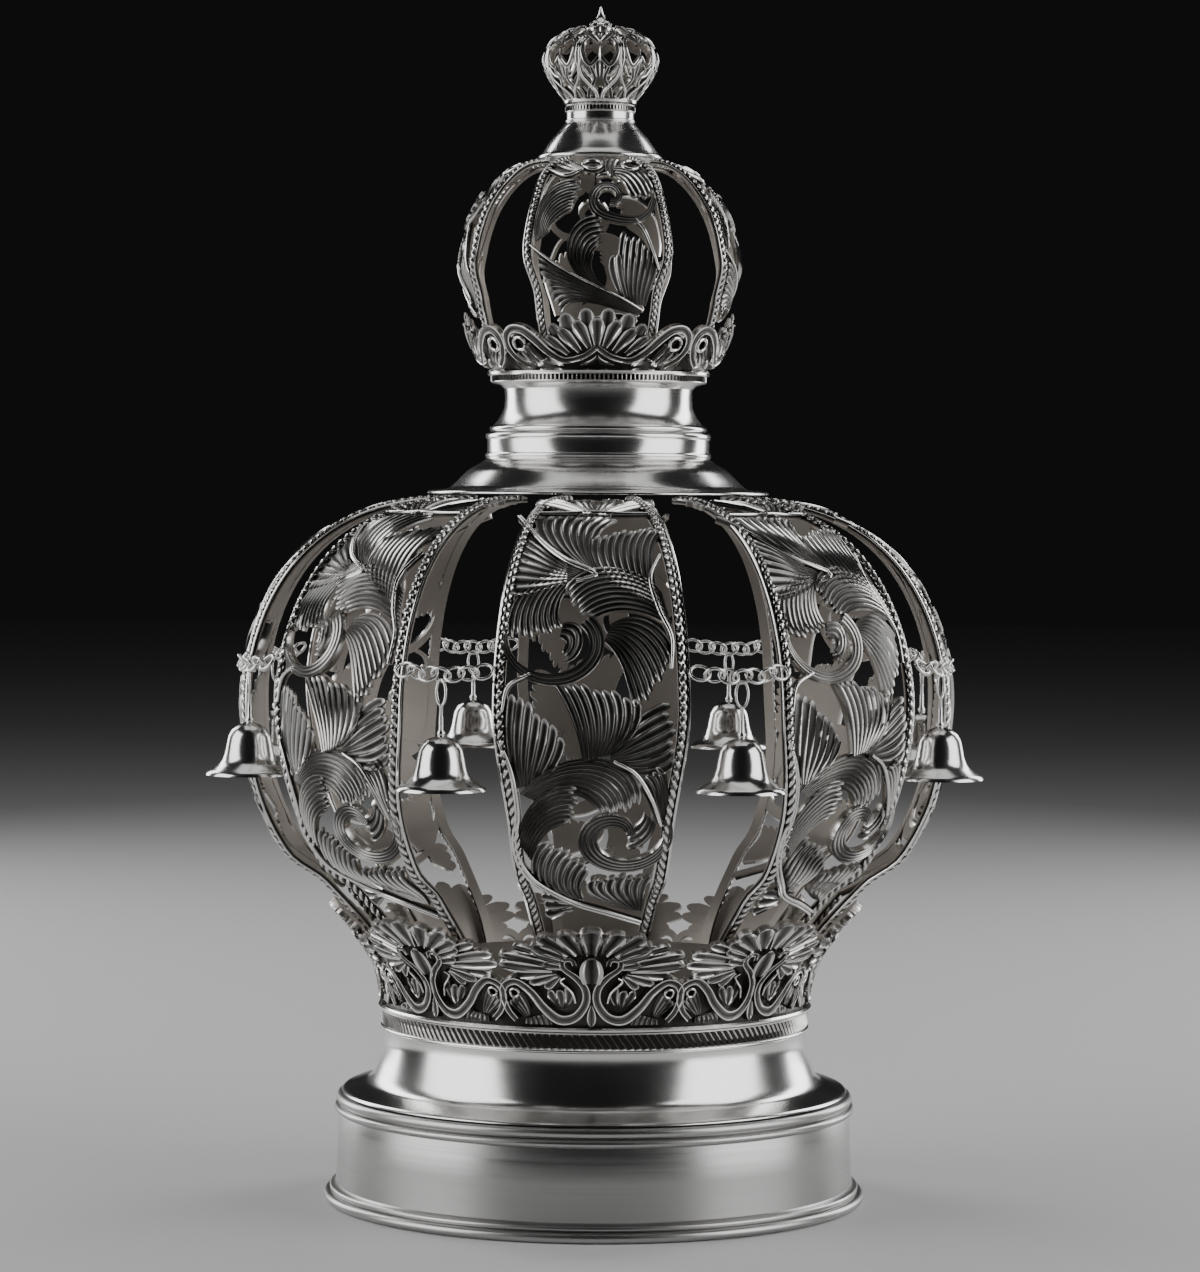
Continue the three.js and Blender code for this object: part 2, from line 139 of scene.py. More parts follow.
def through(knots, count):
    """A smooth open curve through the knots, evenly walked."""
    knots = np.array(knots, float)
    ends = np.vstack([2 * knots[0] - knots[1], knots, 2 * knots[-1] - knots[-2]])
    points = []
    for i in range(len(knots) - 1):
        p0, p1, p2, p3 = ends[i:i + 4]
        points.append(bezier([p1, p1 + (p2 - p0) / 6, p2 - (p3 - p1) / 6, p2], 16)[:-1])
    points = np.vstack([*points, knots[-1:]])
    return evenly(points, count)


def walk(points):
    """How far along a curve each of its points lies."""
    steps = np.linalg.norm(np.diff(points, axis=0), axis=1)
    return np.concatenate([[0], np.cumsum(steps)])


def evenly(points, count):
    walked = walk(points)
    at = np.linspace(0, walked[-1], count)
    return np.column_stack([np.interp(at, walked, points[:, k]) for k in range(points.shape[1])])


def spiral(centre, start, end, radius_start, radius_end, count):
    t = np.linspace(0, 1, count)
    angle = np.radians(start + (end - start) * t)
    radius = radius_start + (radius_end - radius_start) * t
    return np.column_stack([centre[0] + radius * np.cos(angle), centre[1] + radius * np.sin(angle)])


def squashed(path, middle):
    """A flat path drawn about v = 0, pressed to an oval and moved up to its middle."""
    return path * [1, OVAL] + [0, middle]


def smoothstep(x, low, high):
    t = np.clip((np.asarray(x, float) - low) / (high - low), 0, 1)
    return t * t * (3 - 2 * t)


def side_of(path):
    """The unit normal to the left of a flat path, at each of its points."""
    along = np.gradient(path, axis=0)
    along /= np.linalg.norm(along, axis=1)[:, None]
    return np.column_stack([-along[:, 1], along[:, 0]])


class Shell:
    """A bellied profile of two Bezier stretches, walked by its length, with its outward normal."""

    def __init__(self, *corners):
        points = np.vstack([bezier(corners[0:4], 300), bezier(corners[3:7], 300)[1:]])
        self.walked = walk(points)
        self.length = self.walked[-1]
        self.points = points
        along = np.gradient(points, self.walked, axis=0)
        self.along = along / np.linalg.norm(along, axis=1)[:, None]

    def at(self, v):
        v = np.clip(v, 0, self.length)
        radius, height = [np.interp(v, self.walked, self.points[:, k]) for k in (0, 1)]
        outward = np.interp(v, self.walked, self.along[:, 1])
        upward = -np.interp(v, self.walked, self.along[:, 0])
        return radius, height, outward, upward

    def lay(self, points, turn, sink=None):
        """Flat u, v, w to x, y, z, for a design whose middle stands at the angle turn. sink(v)
        says how far the design is moved inwards."""
        u, v, w = points.T
        radius, height, outward, upward = self.at(v)
        over = v - np.clip(v, 0, self.length)
        w = w - (sink(v) if sink else 0)
        angle = math.radians(turn) + u / radius
        around = radius + w * outward - over * upward
        return np.column_stack([
            around * np.cos(angle),
            around * np.sin(angle),
            height + w * upward + over * outward,
        ])


big_shell = Shell(
    (COVE_TOP_RADIUS, GALLERY_LOW),
    (COVE_TOP_RADIUS, 101.6),
    (BIG_RADIUS, 102.1),
    (BIG_RADIUS, 169.4),
    (BIG_RADIUS, 181.9),
    (113.5, BIG_CROWN),
    (50, BIG_CROWN),
)
small_shell = Shell(
    (36.2, CREST_LOW),
    (45.2, 283.8),
    (SMALL_RADIUS, 305),
    (SMALL_RADIUS, 311.2),
    (SMALL_RADIUS, 323.7),
    (39.4, SMALL_CROWN),
    (20.2, SMALL_CROWN),
)
bud_shell = Shell(
    (11.6, BUD_LOW),
    (12.5, 371),
    (19.2, 375),
    (19.2, 381.7),
    (19.2, 388),
    (12, 391),
    (4.4, BUD_TOP),
)


def big_half_width(v):
    opening = 13.2 + 1.8 * smoothstep(v, 80, 120)
    return big_shell.at(v)[0] * np.radians(opening)


def small_half_width(v):
    opening = 28 + 3.5 * smoothstep(v, 25, 45) + 2.5 * smoothstep(v, 55, 80)
    return small_shell.at(v)[0] * np.radians(opening)


def big_sink(v):
    return 3.7 * (1 - smoothstep(v, 47, 64))


def small_sink(v):
    return 2.6 * (1 - smoothstep(v, 26, 40))


# ---- closed surfaces ----
class Carving:
    """Closed surfaces gathered for one mesh. Each point says how proud it stands in its groove
    (its mark of wear and shade: 1 on a ridge, 0 in an oxidised groove, and 0 in a turned band
    painted dark as shade) and whether it belongs to the plain back (inner)."""

    def __init__(self):
        self.points = []
        self.faces = []
        self.wear_and_shade = []
        self.inner = []
        self.count = 0

    def add(self, points, faces, wear_and_shade=1.0, inner=0.0):
        points = np.asarray(points, float)
        if volume(points, faces) < 0:
            faces = [face[::-1] for face in faces]
        self.faces += [tuple(i + self.count for i in face) for face in faces]
        self.points.append(points)
        self.wear_and_shade.append(np.broadcast_to(wear_and_shade, len(points)))
        self.inner.append(np.broadcast_to(inner, len(points)))
        self.count += len(points)

    def merge(self, other, place=None):
        """Adds another carving, with its points sent through place if that is given."""
        self.faces += [tuple(i + self.count for i in face) for face in other.faces]
        points = np.vstack(other.points)
        self.points.append(place(points) if place else points)
        self.wear_and_shade += other.wear_and_shade
        self.inner += other.inner
        self.count += other.count


def volume(points, faces):
    """Six times the closed volume, and below zero where the faces look inwards."""
    total = 0.0
    for face in faces:
        a = points[face[0]]
        for i in range(1, len(face) - 1):
            total += a @ np.cross(points[face[i]], points[face[i + 1]])
    return total


def grid(rows, columns, around=False):
    """Quads over a grid of points, row by row; around joins the last column to the first."""
    faces = []
    last = columns if around else columns - 1
    for i in range(rows - 1):
        for j in range(last):
            k = (j + 1) % columns
            faces.append((i * columns + j, i * columns + k, (i + 1) * columns + k, (i + 1) * columns + j))
    return faces


def walls(rows, columns):
    """Quads from the rim of a grid down to the same grid below it, whose points come after."""
    rim = list(range(columns))
    rim += [i * columns + columns - 1 for i in range(1, rows)]
    rim += [(rows - 1) * columns + j for j in range(columns - 2, -1, -1)]
    rim += [i * columns for i in range(rows - 2, 0, -1)]
    shift = rows * columns
    return [(b, a, a + shift, b + shift) for a, b in zip(rim, rim[1:] + rim[:1])]


# Sections of one flute: where its points stand across it, and how high, from 0 to 1.
FLUTED = ((0, 0.08, 0.27, 0.5, 0.73, 0.92), (1, 0.42, 0.06, 0, 0.06, 0.42))
REEDED = ((0, 0.08, 0.26, 0.5, 0.74, 0.92), (0, 0.6, 0.92, 1, 0.92, 0.6))
RIMMED = ((0, 0.15, 0.24, 0.5, 0.76, 0.85), (1, 0.9, 0.15, 0, 0.15, 0.9))


def sheet(carving, left, right, flutes, section=FLUTED, crest=-0.1, ridge=0.9, lobe=0.15,
          back=BACK, dome=0.5, tilt=0.0):
    """A fluted leaf between two edges, from its root to its lobed tip. Each flute has the given
    section, ridge deep. The face swells by dome and leans by tilt across its tip. The back is
    flat and the sides are upright."""
    rows = len(left)
    across = len(section[0])
    lobe = min(lobe, LOBE_DEPTH / walk((left + right) / 2)[-1])
    t = np.append(np.add.outer(np.arange(flutes), section[0]).ravel() / flutes, 1)
    rise = np.append(np.tile(section[1], flutes), section[1][0])
    phase = np.abs(2 * ((t * flutes) % 1) - 1)
    phase[-1] = 1
    uneven = np.append(np.repeat(0.3 * lobe * (np.arange(flutes) * 5 % 3), across), 0)
    ends = 1 - lobe * phase ** 3 - 0.8 * lobe * np.abs(2 * t - 1) ** 3 - (uneven if flutes > 2 else 0)
    s = np.linspace(0, 1, rows)
    index = s[:, None] * ends[None, :] * (rows - 1)
    low = np.clip(np.floor(index).astype(int), 0, rows - 2)
    part = (index - low)[..., None]
    edge_left = left[low] * (1 - part) + left[low + 1] * part
    edge_right = right[low] * (1 - part) + right[low + 1] * part
    flat = edge_left * (1 - t)[None, :, None] + edge_right * t[None, :, None]
    pitch = np.linalg.norm(right - left, axis=1) / flutes
    depth = np.minimum(ridge, STEEPEST * pitch)[:, None]
    proud = np.tile(rise, (rows, 1))
    if lobe:
        proud[-1] = np.maximum(rise, 0.5)
    swell = dome * np.sin(math.pi * t)[None, :] * np.sin(math.pi * np.clip(s, 0.04, 0.9))[:, None]
    lean = tilt * (t - 0.5)[None, :] * s[:, None]
    w = crest + depth * (proud - 1) + swell - 0.5 * dome + lean
    columns = len(t)
    upper = np.dstack([flat, w]).reshape(-1, 3)
    under = np.dstack([flat, np.full_like(w, back)]).reshape(-1, 3)
    points = np.vstack([upper, under])
    faces = grid(rows, columns)
    shift = rows * columns
    marks = list(range(0, columns, across))
    for i in range(rows - 1):
        for a, b in zip(marks, marks[1:]):
            near = [i * columns + a, i * columns + b]
            far = [(i + 1) * columns + b, (i + 1) * columns + a]
            if i == 0:
                near = [i * columns + j for j in range(a, b + 1)]
            if i == rows - 2:
                far = [(i + 1) * columns + j for j in range(b, a - 1, -1)]
            faces.append(tuple(shift + k for k in reversed(near + far)))
    faces += walls(rows, columns)
    used = sorted({k for face in faces for k in face})
    renumber = {k: n for n, k in enumerate(used)}
    faces = [tuple(renumber[k] for k in face) for face in faces]
    wear_and_shade = np.concatenate([proud.reshape(-1), np.zeros(shift)])[used]
    inner = np.concatenate([np.zeros(shift), np.ones(shift)])[used]
    carving.add(points[used], faces, wear_and_shade, inner)


def strip(carving, left, right, crest, back, across=1):
    """A plain dark sheet between two lines, as the ground that carving stands on."""
    rows = len(left)
    share = np.linspace(0, 1, across + 1)[None, :, None]
    flat = (left[:, None] * (1 - share) + right[:, None] * share).reshape(-1, 2)
    columns = across + 1
    shift = rows * columns
    upper = np.column_stack([flat, np.full(shift, crest)])
    under = np.column_stack([flat, np.full(shift, back)])
    faces = grid(rows, columns)
    faces += [tuple(shift + k for k in reversed(face)) for face in faces]
    faces += walls(rows, columns)
    carving.add(np.vstack([upper, under]), faces, 0.0, np.repeat([0.0, 1.0], shift))


class Bench:
    """Carves leaves and stems into one carving, each with its back a hair off its neighbours'
    and its face a little above or below them, so that leaves overlap."""

    def __init__(self, back=BACK, crest=-0.1, ridge=0.9, rows=15, step=0.35, fullness=1.0,
                 per_knot=6):
        self.carving = Carving()
        self.back = back
        self.crest = crest
        self.ridge = ridge
        self.rows = rows
        self.step = step
        self.fullness = fullness  # how much broader leaves are cut than their two edges
        self.per_knot = per_knot  # rows of a stem for each of its knots
        self.made = 0

    def next(self, how):
        """The heights of the next leaf: its back, and its crest unless it is given."""
        self.made += 1
        how.setdefault("crest", self.crest + self.step * (self.made * 2 % 3 - 1))
        how.setdefault("ridge", self.ridge)
        return {**how, "back": self.back + BACK_STEP * (self.made % 9)}

    def leaf(self, one, other, flutes, **how):
        """Edges are (start, heading, tip, heading at the tip), and the flutes fan between them."""
        left, right = [stroke(*edge, self.rows) for edge in (one, other)]
        swell = (self.fullness - 1) / 2 * (left - right)
        sheet(self.carving, left + swell, right - swell, flutes, **self.next(how))

    def band(self, path, widths, reeds=1, section=REEDED, **how):
        """A stem or scroll along a path, with its half width at the start, middle and end."""
        half = np.interp(np.linspace(0, 2, len(path)), [0, 1, 2], widths)[:, None]
        side = side_of(path) * half
        how.setdefault("crest", self.crest + 0.3)
        sheet(self.carving, path + side, path - side, reeds, section, lobe=0, dome=0.2, **self.next(how))

    def stem(self, knots, widths, reeds=1, **how):
        self.band(through(knots, self.per_knot * len(knots)), widths, reeds, **how)

    def eye(self, centre, radius, widths, count, **how):
        """A ring that is left open by a hair."""
        self.band(spiral(centre, 0, 350, radius, radius, count), widths, **how)

    def petal(self, root, tip, narrow, broad, **how):
        """A hollow petal with a raised rim, from a narrow root to a broad round tip."""
        flare, close = 8, 14
        root, tip = np.array(root, float), np.array(tip, float)
        along = tip - root
        bearing = math.degrees(math.atan2(along[1], along[0]))
        side = np.array([-along[1], along[0]]) / np.linalg.norm(along)
        left = (root + narrow / 2 * side, bearing + flare, tip + broad / 2 * side, bearing - close)
        right = (root - narrow / 2 * side, bearing - flare, tip - broad / 2 * side, bearing + close)
        self.leaf(left, right, 1, **{"section": RIMMED, "lobe": 0.17, "dome": 0.2, **how})


class Half:
    """Carves on a bench what is drawn for its right half, mirrored where side is -1."""

    def __init__(self, bench, side):
        self.bench = bench
        self.side = side

    def at(self, place):
        return self.side * place[0], place[1]

    def bearing(self, angle):
        return 90 + self.side * (angle - 90)

    def leaf(self, one, other, flutes, **how):
        edges = [(self.at(root), self.bearing(leaves), self.at(tip), self.bearing(arrives))
                 for root, leaves, tip, arrives in (one, other)]
        self.bench.leaf(*edges, flutes, **how)

    def stem(self, knots, widths, **how):
        self.bench.stem([self.at(knot) for knot in knots], widths, **how)

    def eye(self, centre, *sizes, **how):
        self.bench.eye(self.at(centre), *sizes, **how)

    def petal(self, root, tip, narrow, broad, **how):
        self.bench.petal(self.at(root), self.at(tip), narrow, broad, **how)


def tube(path, radius_at, sides):
    """A closed tube of points along a flat path that carries its own w. radius_at(step, angles)
    shapes it."""
    flat = side_of(path[:, :2])
    angles = np.arange(sides) * 2 * math.pi / sides
    rings = []
    for i, point in enumerate(path):
        radius = radius_at(i, angles)[:, None]
        out = np.column_stack([flat[i][0] * np.cos(angles), flat[i][1] * np.cos(angles), np.sin(angles)])
        rings.append(point + radius * out)
    faces = grid(len(path), sides, around=True)
    faces.append(tuple(range(sides))[::-1])
    faces.append(tuple((len(path) - 1) * sides + k for k in range(sides)))
    return np.vstack(rings), faces


def rope(carving, path, radius, strand, hand, step):
    """A two-strand rope: strand is the length between strands, hand +1 or -1 is its twist."""
    path = evenly(path, int(walk(path)[-1] / step))
    sides = 10

    def radius_at(i, angles):
        phase = angles + hand * math.pi * i * step / strand
        return radius * (0.6 + 0.4 * np.abs(np.cos(phase)) ** 0.8)

    points, faces = tube(path, radius_at, sides)
    centre = np.repeat(path, sides, axis=0)
    proud = np.linalg.norm(points - centre, axis=1) / radius
    carving.add(points, faces, smoothstep(proud, 0.82, 0.99))


def wire(carving, path, radius, sides=7):
    carving.add(*tube(path, lambda i, angles: np.full(len(angles), radius), sides))


def edging(bench, half_width, shell, width, strand):
    """A rib's two edges: a flat strip that carries a twisted rope with a plain wire outside it.
    Its width is half the strip's, and its depths are the big rib's, scaled with that width."""
    rows = 64
    scale = width / ROPE
    heights = np.linspace(0, shell.length, rows)
    across = np.column_stack([np.full(rows, width), np.zeros(rows)])
    for side in (1, -1):
        line = np.column_stack([side * (half_width(heights) - width), heights])
        strip(bench.carving, line - across, line + across, -1.3 * scale, bench.back)

        def raised(offset, w):
            return np.column_stack([line[:, 0] + side * offset * width, heights, np.full(rows, w)])

        rope(bench.carving, raised(-0.3, -0.75 * scale), 0.64 * width, strand, side, strand / 6)
        wire(bench.carving, raised(0.74, -0.85 * scale), 0.25 * width)


# ---- the ribs' carving ----
def big_rib():
    """Two volutes on stems that rise from the foot of the rib, among fluted leaves."""
    bench = Bench(fullness=1.15)
    edging(bench, big_half_width, big_shell, ROPE, 3.1)

    # stems
    bench.stem([(16, 39), (5, 44), (-6, 49), (-14, 57), (-21, 66), (-24, 76), (-23, 87),
                (-25, 100), (-29, 110)], (1.3, 1.2, 0.6), 2)
    bench.stem([(7, 104), (14, 100), (19, 92), (22, 83)], (0.5, 0.8, 0.6))
    bench.stem([(21, 173), (18, 163), (21, 152), (25, 143), (25, 133)], (0.6, 0.9, 0.5))
    bench.stem([(-24, 194), (-17, 180), (-9, 171), (1, 165), (-5, 162)], (0.7, 1.1, 0.8), 2)
    bench.stem([(-28, 119), (-26, 127), (-19, 131)], (0.5, 0.7, 0.7))

    # leaves, from the top of the rib down
    bench.leaf(((0, 166), 152, (-16, 198), 70), ((2, 165), 110, (9, 196), 30), 8, tilt=-0.5)
    bench.leaf(((13, 157), 155, (2, 184), 70), ((20, 153), 100, (23, 188), 50), 9, tilt=0.4)
    bench.leaf(((-8, 168), 140, (-24, 186), 140), ((-8, 162), 200, (-28, 158), 184), 8, tilt=0.5)
    bench.leaf(((-2, 168), 180, (-25, 141), 285), ((-5, 164), 225, (-9, 145), 315), 9, tilt=-0.6)
    bench.leaf(((22, 157), 125, (-9, 157), 250), ((25, 146), 135, (-2, 148), 225), 9, tilt=-0.5)
    bench.leaf(((6, 147), 35, (26, 135), 282), ((4, 142), -35, (15, 119), 290), 9, tilt=0.5)
    bench.leaf(((-23, 95), 120, (-27, 129), 80), ((-18, 96), 35, (-9, 113), 90), 8, tilt=0.4)
    bench.leaf(((-2, 104), 95, (-12, 130), 130), ((6, 106), 35, (13, 125), 115), 9, tilt=-0.4)
    bench.leaf(((6, 106), 55, (26, 122), 10), ((6, 103), -25, (27, 105), 55), 7, tilt=0.5)
    bench.leaf(((-22, 93), 55, (15, 88), 262), ((-18, 91), 35, (4, 86), 285), 9, tilt=0.5)
    bench.leaf(((24, 86), 100, (20, 103), 150), ((21, 84), 120, (13, 97), 170), 5)
    bench.leaf(((-23, 77), 85, (-3, 95), -15), ((-19, 70), 80, (-5, 84), -10), 8, tilt=-0.4)
    bench.leaf(((-9, 51), 148, (-12, 78), 35), ((-3, 50), 108, (0, 68), 45), 8, tilt=0.4)
    bench.leaf(((12, 46), 158, (1, 64), 60), ((16, 45), 80, (20, 65), 35), 7, tilt=-0.4)
    bench.leaf(((-6, 49), 150, (-17, 53), 190), ((-6, 45), 190, (-16, 41), 170), 3)

    # volutes, over the leaves that spring from them
    bench.band(squashed(spiral((-11.5, 0), 165, 400, 16, 12.5, 36), 141.5), (0.7, 2.0, 2.4), 3,
               FLUTED, crest=0.5)
    bench.leaf(((-9, 147), 20, (-9, 134), 195), ((-10, 143), 0, (-10, 138), 190), 3, crest=0.2)
    bench.band(squashed(spiral((8.5, 0), 25, -330, 16.5, 4, 46), 79.5), (1.2, 3.0, 1.4), 4,
               FLUTED, crest=0.5)
    bench.leaf(((20, 84), 262, (11, 74), 200), ((17, 87), 262, (10, 81), 190), 3, crest=0.2)

    # the tie under the cap
    bench.stem([(-19, 197), (-9, 197), (0, 198), (9, 197), (17, 197)], (0.6, 0.8, 0.6))
    for side in (1, -1):
        half = Half(bench, side)
        half.leaf(((1, 197), 60, (19, 216), 15), ((2, 196), 10, (20, 207), 30), 4)
        half.leaf(((0, 197), 90, (0, 220), 120), ((2, 198), 60, (8, 219), 90), 3)
    return bench.carving


def small_rib():
    """A volute among fluted leaves, under two ring windows."""
    bench = Bench(back=-1.9, ridge=0.7, step=0.25, fullness=1.12)
    edging(bench, small_half_width, small_shell, SMALL_ROPE, 2.3)

    bench.stem([(16, 21.5), (8, 26), (-4, 31.5), (-14, 37), (-23, 43.5)], (0.4, 0.5, 0.3))
    bench.stem([(21, 35.5), (16, 48), (12.6, 52)], (0.4, 0.6, 0.5))

    # leaves, from the top of the rib down
    bench.leaf(((3, 77), 10, (21, 61), -85), ((6, 70), -20, (13, 60), -40), 6, tilt=0.4)
    bench.leaf(((-21, 45), 100, (-4, 67), -10), ((-17, 48), 75, (-8, 57), 30), 10, tilt=-0.5)
    bench.leaf(((-4, 31), 145, (4, 52), -25), ((4, 28), 150, (0, 42), 40), 8, tilt=0.4)
    bench.leaf(((11, 24), 118, (9, 50), 75), ((17, 23), 75, (20, 42), 95), 7, tilt=0.5)
    bench.leaf(((8, 26), 120, (4, 40), 80), ((11, 25), 105, (8, 41), 85), 2)
    bench.leaf(((16, 22), 158, (-23, 43), 142), ((15, 20), 172, (-14, 19), 262), 9, tilt=-0.5)
    volute = [(19, 60), (17, 55), (12.6, 52), (5.5, 52.5), (0, 55), (-1.6, 60), (0.5, 64),
              (4.5, 64.5), (7, 61.5), (6, 58.5), (4, 58.5)]
    bench.band(through(volute, 44), (0.9, 1.7, 0.9), 3, FLUTED, ridge=0.6, crest=0.5)

    # two ring windows under the cap, with leaves turned about them
    for middle in (-2, 11):
        bench.eye((middle, 76.5), 3.2, (0.6, 0.7, 0.6), 20)
    bench.stem([(-18, 74), (-11, 70), (-5.5, 73)], (0.6, 0.8, 0.5))
    bench.leaf(((-5, 72), 190, (-18, 79), 120), ((-5, 74), 150, (-8, 83), 60), 4)
    bench.leaf(((4, 70), 120, (2, 84), 100), ((5, 70), 80, (9, 83), 60), 3)
    return bench.carving


# ---- the galleries ----
def lower_module():
    """A palmette over a bud held by two S scrolls, with long leaves and a small fan on each side."""
    bench = Bench(back=-2.2, crest=0.2, ridge=0.7, rows=9, step=0.15, per_knot=5)
    bench.petal((0, 28.5), (0, 40), 2.8, 7.2, crest=0.7, lobe=0.22)
    bench.leaf(((-2.6, 16.5), 120, (-1.6, 27.6), 60), ((2.6, 16.5), 60, (1.6, 27.6), 120), 1,
               section=RIMMED, lobe=0.1, crest=0.9)
    bench.leaf(((0, 1.6), 150, (0, 9), 60), ((0, 1.6), 30, (0, 9), 120), 1, section=RIMMED, lobe=0, crest=0.6)
    for side in (1, -1):
        half = Half(bench, side)
        half.petal((3.6, 28.4), (7.8, 38.2), 2.4, 6.0, crest=0.5)
        half.petal((6.0, 27.8), (14.6, 36.2), 2.2, 5.6, crest=0.3)
        half.petal((7.4, 26.4), (17.2, 32.2), 2.0, 4.2, crest=0.5)
        half.petal((8.0, 24.8), (17.0, 28.4), 1.8, 3.2, crest=0.3)
        half.petal((8.2, 22.8), (14.8, 24.0), 1.6, 2.6, crest=0.5)
        # long leaves behind the petals
        half.petal((15, 28), (22.8, 31), 2.0, 3.0, crest=-0.3)
        half.petal((12, 23.4), (28, 27.2), 1.8, 3.4, crest=0)
        half.petal((12, 21.6), (29, 23.2), 1.8, 3.2, crest=0.2)
        half.petal((11, 20.6), (25.4, 18.6), 1.6, 3.0, crest=0)
        half.petal((10.6, 19.6), (20, 16), 1.5, 2.8, crest=0.2)
        half.petal((10, 19), (15, 14.2), 1.4, 2.6, crest=0)
        # S scroll, from the hook beside the bud
        scroll = [(5.0, 24.2), (5.6, 26.6), (8.2, 26.4), (8.4, 23), (4.6, 19), (1.9, 14.5),
                  (2.0, 9.4), (5.4, 4.8), (10.6, 4), (15.7, 8), (19.6, 13.4), (24, 17),
                  (28, 15.4), (29.2, 11), (27.6, 6.4), (25, 3.4)]
        half.stem(scroll, (0.7, 1.6, 0.9), section=RIMMED, crest=0.9, ridge=0.6)
        # a leaf curled inside its lower bend
        half.leaf(((9.4, 7), 150, (6.2, 15.4), 60), ((10, 7), 30, (15.6, 14.6), 80), 3, lobe=0.2)
        half.stem([(5.2, 9.5), (6.2, 13), (9.6, 17), (8.2, 18.6)], (0.35, 0.5, 0.35))
        # a fan and an eye inside its upper bend, and a toothed wedge under it
        half.leaf(((20.4, 5), 95, (23.4, 14), 60), ((22.4, 4.4), 40, (28, 9), 60), 4, lobe=0.1)
        half.eye((25.2, 12.6), 1.5, (0.45, 0.5, 0.45), 12, crest=0.7)
        half.leaf(((13, 2), 70, (15.6, 5.6), 10), ((22.4, 2), 100, (21.8, 4), 170), 5, lobe=0.1, crest=-0.1)
    return bench.carving


LOWER_GROUND = [(0, 36), (10, 34), (16, 29), (20, 25), (21.5, 14.5), (26.5, 14), (29.6, 6)]


def upper_module():
    """Petals over two S scrolls that meet at a peak, with pointed leaves behind them."""
    bench = Bench(back=-1.6, crest=0.2, ridge=0.6, rows=9, step=0.1)
    bench.petal((0, 10.4), (0, 19.6), 1.8, 4.6, crest=0.7)
    bench.leaf(((-6, 2.2), 50, (-0.4, 6.4), 70), ((6, 2.2), 130, (0.4, 6.4), 110), 1,
               section=RIMMED, lobe=0, crest=0)
    scroll = [(0, 9.8), (4.6, 6.4), (10.7, 5), (15.5, 8), (19.6, 12.6), (23.4, 15.8),
              (27.4, 16.2), (30, 13.6), (30.2, 9.8), (28, 6), (24, 3)]
    for side in (1, -1):
        half = Half(bench, side)
        half.petal((2.6, 12), (3.4, 22.6), 4.4, 4.6, crest=-0.5, lobe=0.24)
        half.petal((7.4, 12), (9.8, 21), 4.4, 4.6, crest=-0.5, lobe=0.24)
        half.petal((10.6, 10), (14.6, 17.4), 3.6, 4, crest=-0.5, lobe=0.24)
        half.petal((2.3, 9.6), (6.4, 18.8), 1.8, 4.0, crest=0.5)
        half.petal((5.4, 8), (11.6, 16.2), 1.8, 3.6, crest=0.3)
        half.petal((9.2, 7.2), (15.8, 13.6), 1.6, 2.8, crest=0.5)
        bench.band(through([half.at(knot) for knot in scroll], 48), (0.9, 1.5, 1.0),
                   section=RIMMED, crest=0.9, ridge=0.5)
        half.eye((25.8, 11), 2.2, (0.6, 0.7, 0.6), 14, crest=0.6)
        half.leaf(((18, 3), 80, (22.6, 11.6), 60), ((24, 2.4), 50, (28.6, 7.6), 60), 4, lobe=0.08)
        half.leaf(((12, 1.8), 90, (16.4, 5.4), 30), ((22, 1.8), 90, (17.4, 5.2), 150), 1,
                  section=RIMMED, lobe=0, crest=-0.2)
    return bench.carving


UPPER_GROUND = [(0, 16), (10, 14), (17, 9), (22, 13), (27.5, 14.5), (31, 6)]


def gallery_ground(crest, back):
    """The closed ground behind a module, under its crest line of (u, v)."""
    carving = Carving()
    rows, across, thick = 41, 7, 0.7
    spots = np.array([(-u, v) for u, v in crest[:0:-1]] + crest, float)
    places = np.linspace(spots[0][0], spots[-1][0], rows)
    rise = np.interp(places, spots[:, 0], spots[:, 1])
    low, high = np.column_stack([places, np.zeros(rows)]), np.column_stack([places, rise])
    strip(carving, low, high, back + thick, back, across)
    return carving


def gallery(shell, count, module, ground, back, middle, ring):
    """A ring of modules, drawn at the radius found at the height middle, on a plain foot ring."""
    carving = Carving()
    radius_mid = shell.at(middle)[0]
    for k in range(count):
        turn = k * 360 / count
        for part in (module, gallery_ground(ground, back - 0.1)):
            carving.merge(part, lambda points: gallery_lay(shell, points, turn, radius_mid))
    foot = [(0, 0, -1.3), (0, 0, 1.2), (0, 0.5 * ring, 1.2), (0, ring, 0.7), (0, ring, -1.3)]
    outline = shell.lay(np.array(foot), 0)[:, [0, 2]]
    carving.merge(lathe(outline, 160, wear_and_shade=0.8))
    return carving


def gallery_lay(shell, points, turn, radius_mid):
    """Lays a module by angle, so that modules meet at every height."""
    flat = points.copy()
    flat[:, 0] = points[:, 0] / radius_mid * shell.at(points[:, 1])[0]
    return shell.lay(flat, turn)


# ---- turned pieces ----
def rounded(corners, radius, count=4):
    """An outline with each inner corner rounded by about radius."""
    corners = [np.array(corner, float) for corner in corners]
    line = [corners[0]]
    for before, corner, after in zip(corners, corners[1:], corners[2:]):
        r = min(radius, 0.45 * np.linalg.norm(before - corner), 0.45 * np.linalg.norm(after - corner))
        a = corner + r * (before - corner) / np.linalg.norm(before - corner)
        b = corner + r * (after - corner) / np.linalg.norm(after - corner)
        for t in np.linspace(0, 1, count):
            line.append(a * (1 - t) ** 2 + 2 * corner * t * (1 - t) + b * t * t)
    line.append(corners[-1])
    return line


def bead(low, high, bulge, count=7):
    """A half-round bead between two points of an outline, standing out by bulge."""
    low, high = np.array(low, float), np.array(high, float)
    out = np.array([high[1] - low[1], low[0] - high[0]])
    out = out / np.linalg.norm(out) * bulge
    return [low + (high - low) * (1 - math.cos(a)) / 2 + out * math.sin(a)
            for a in np.linspace(0, math.pi, count)]


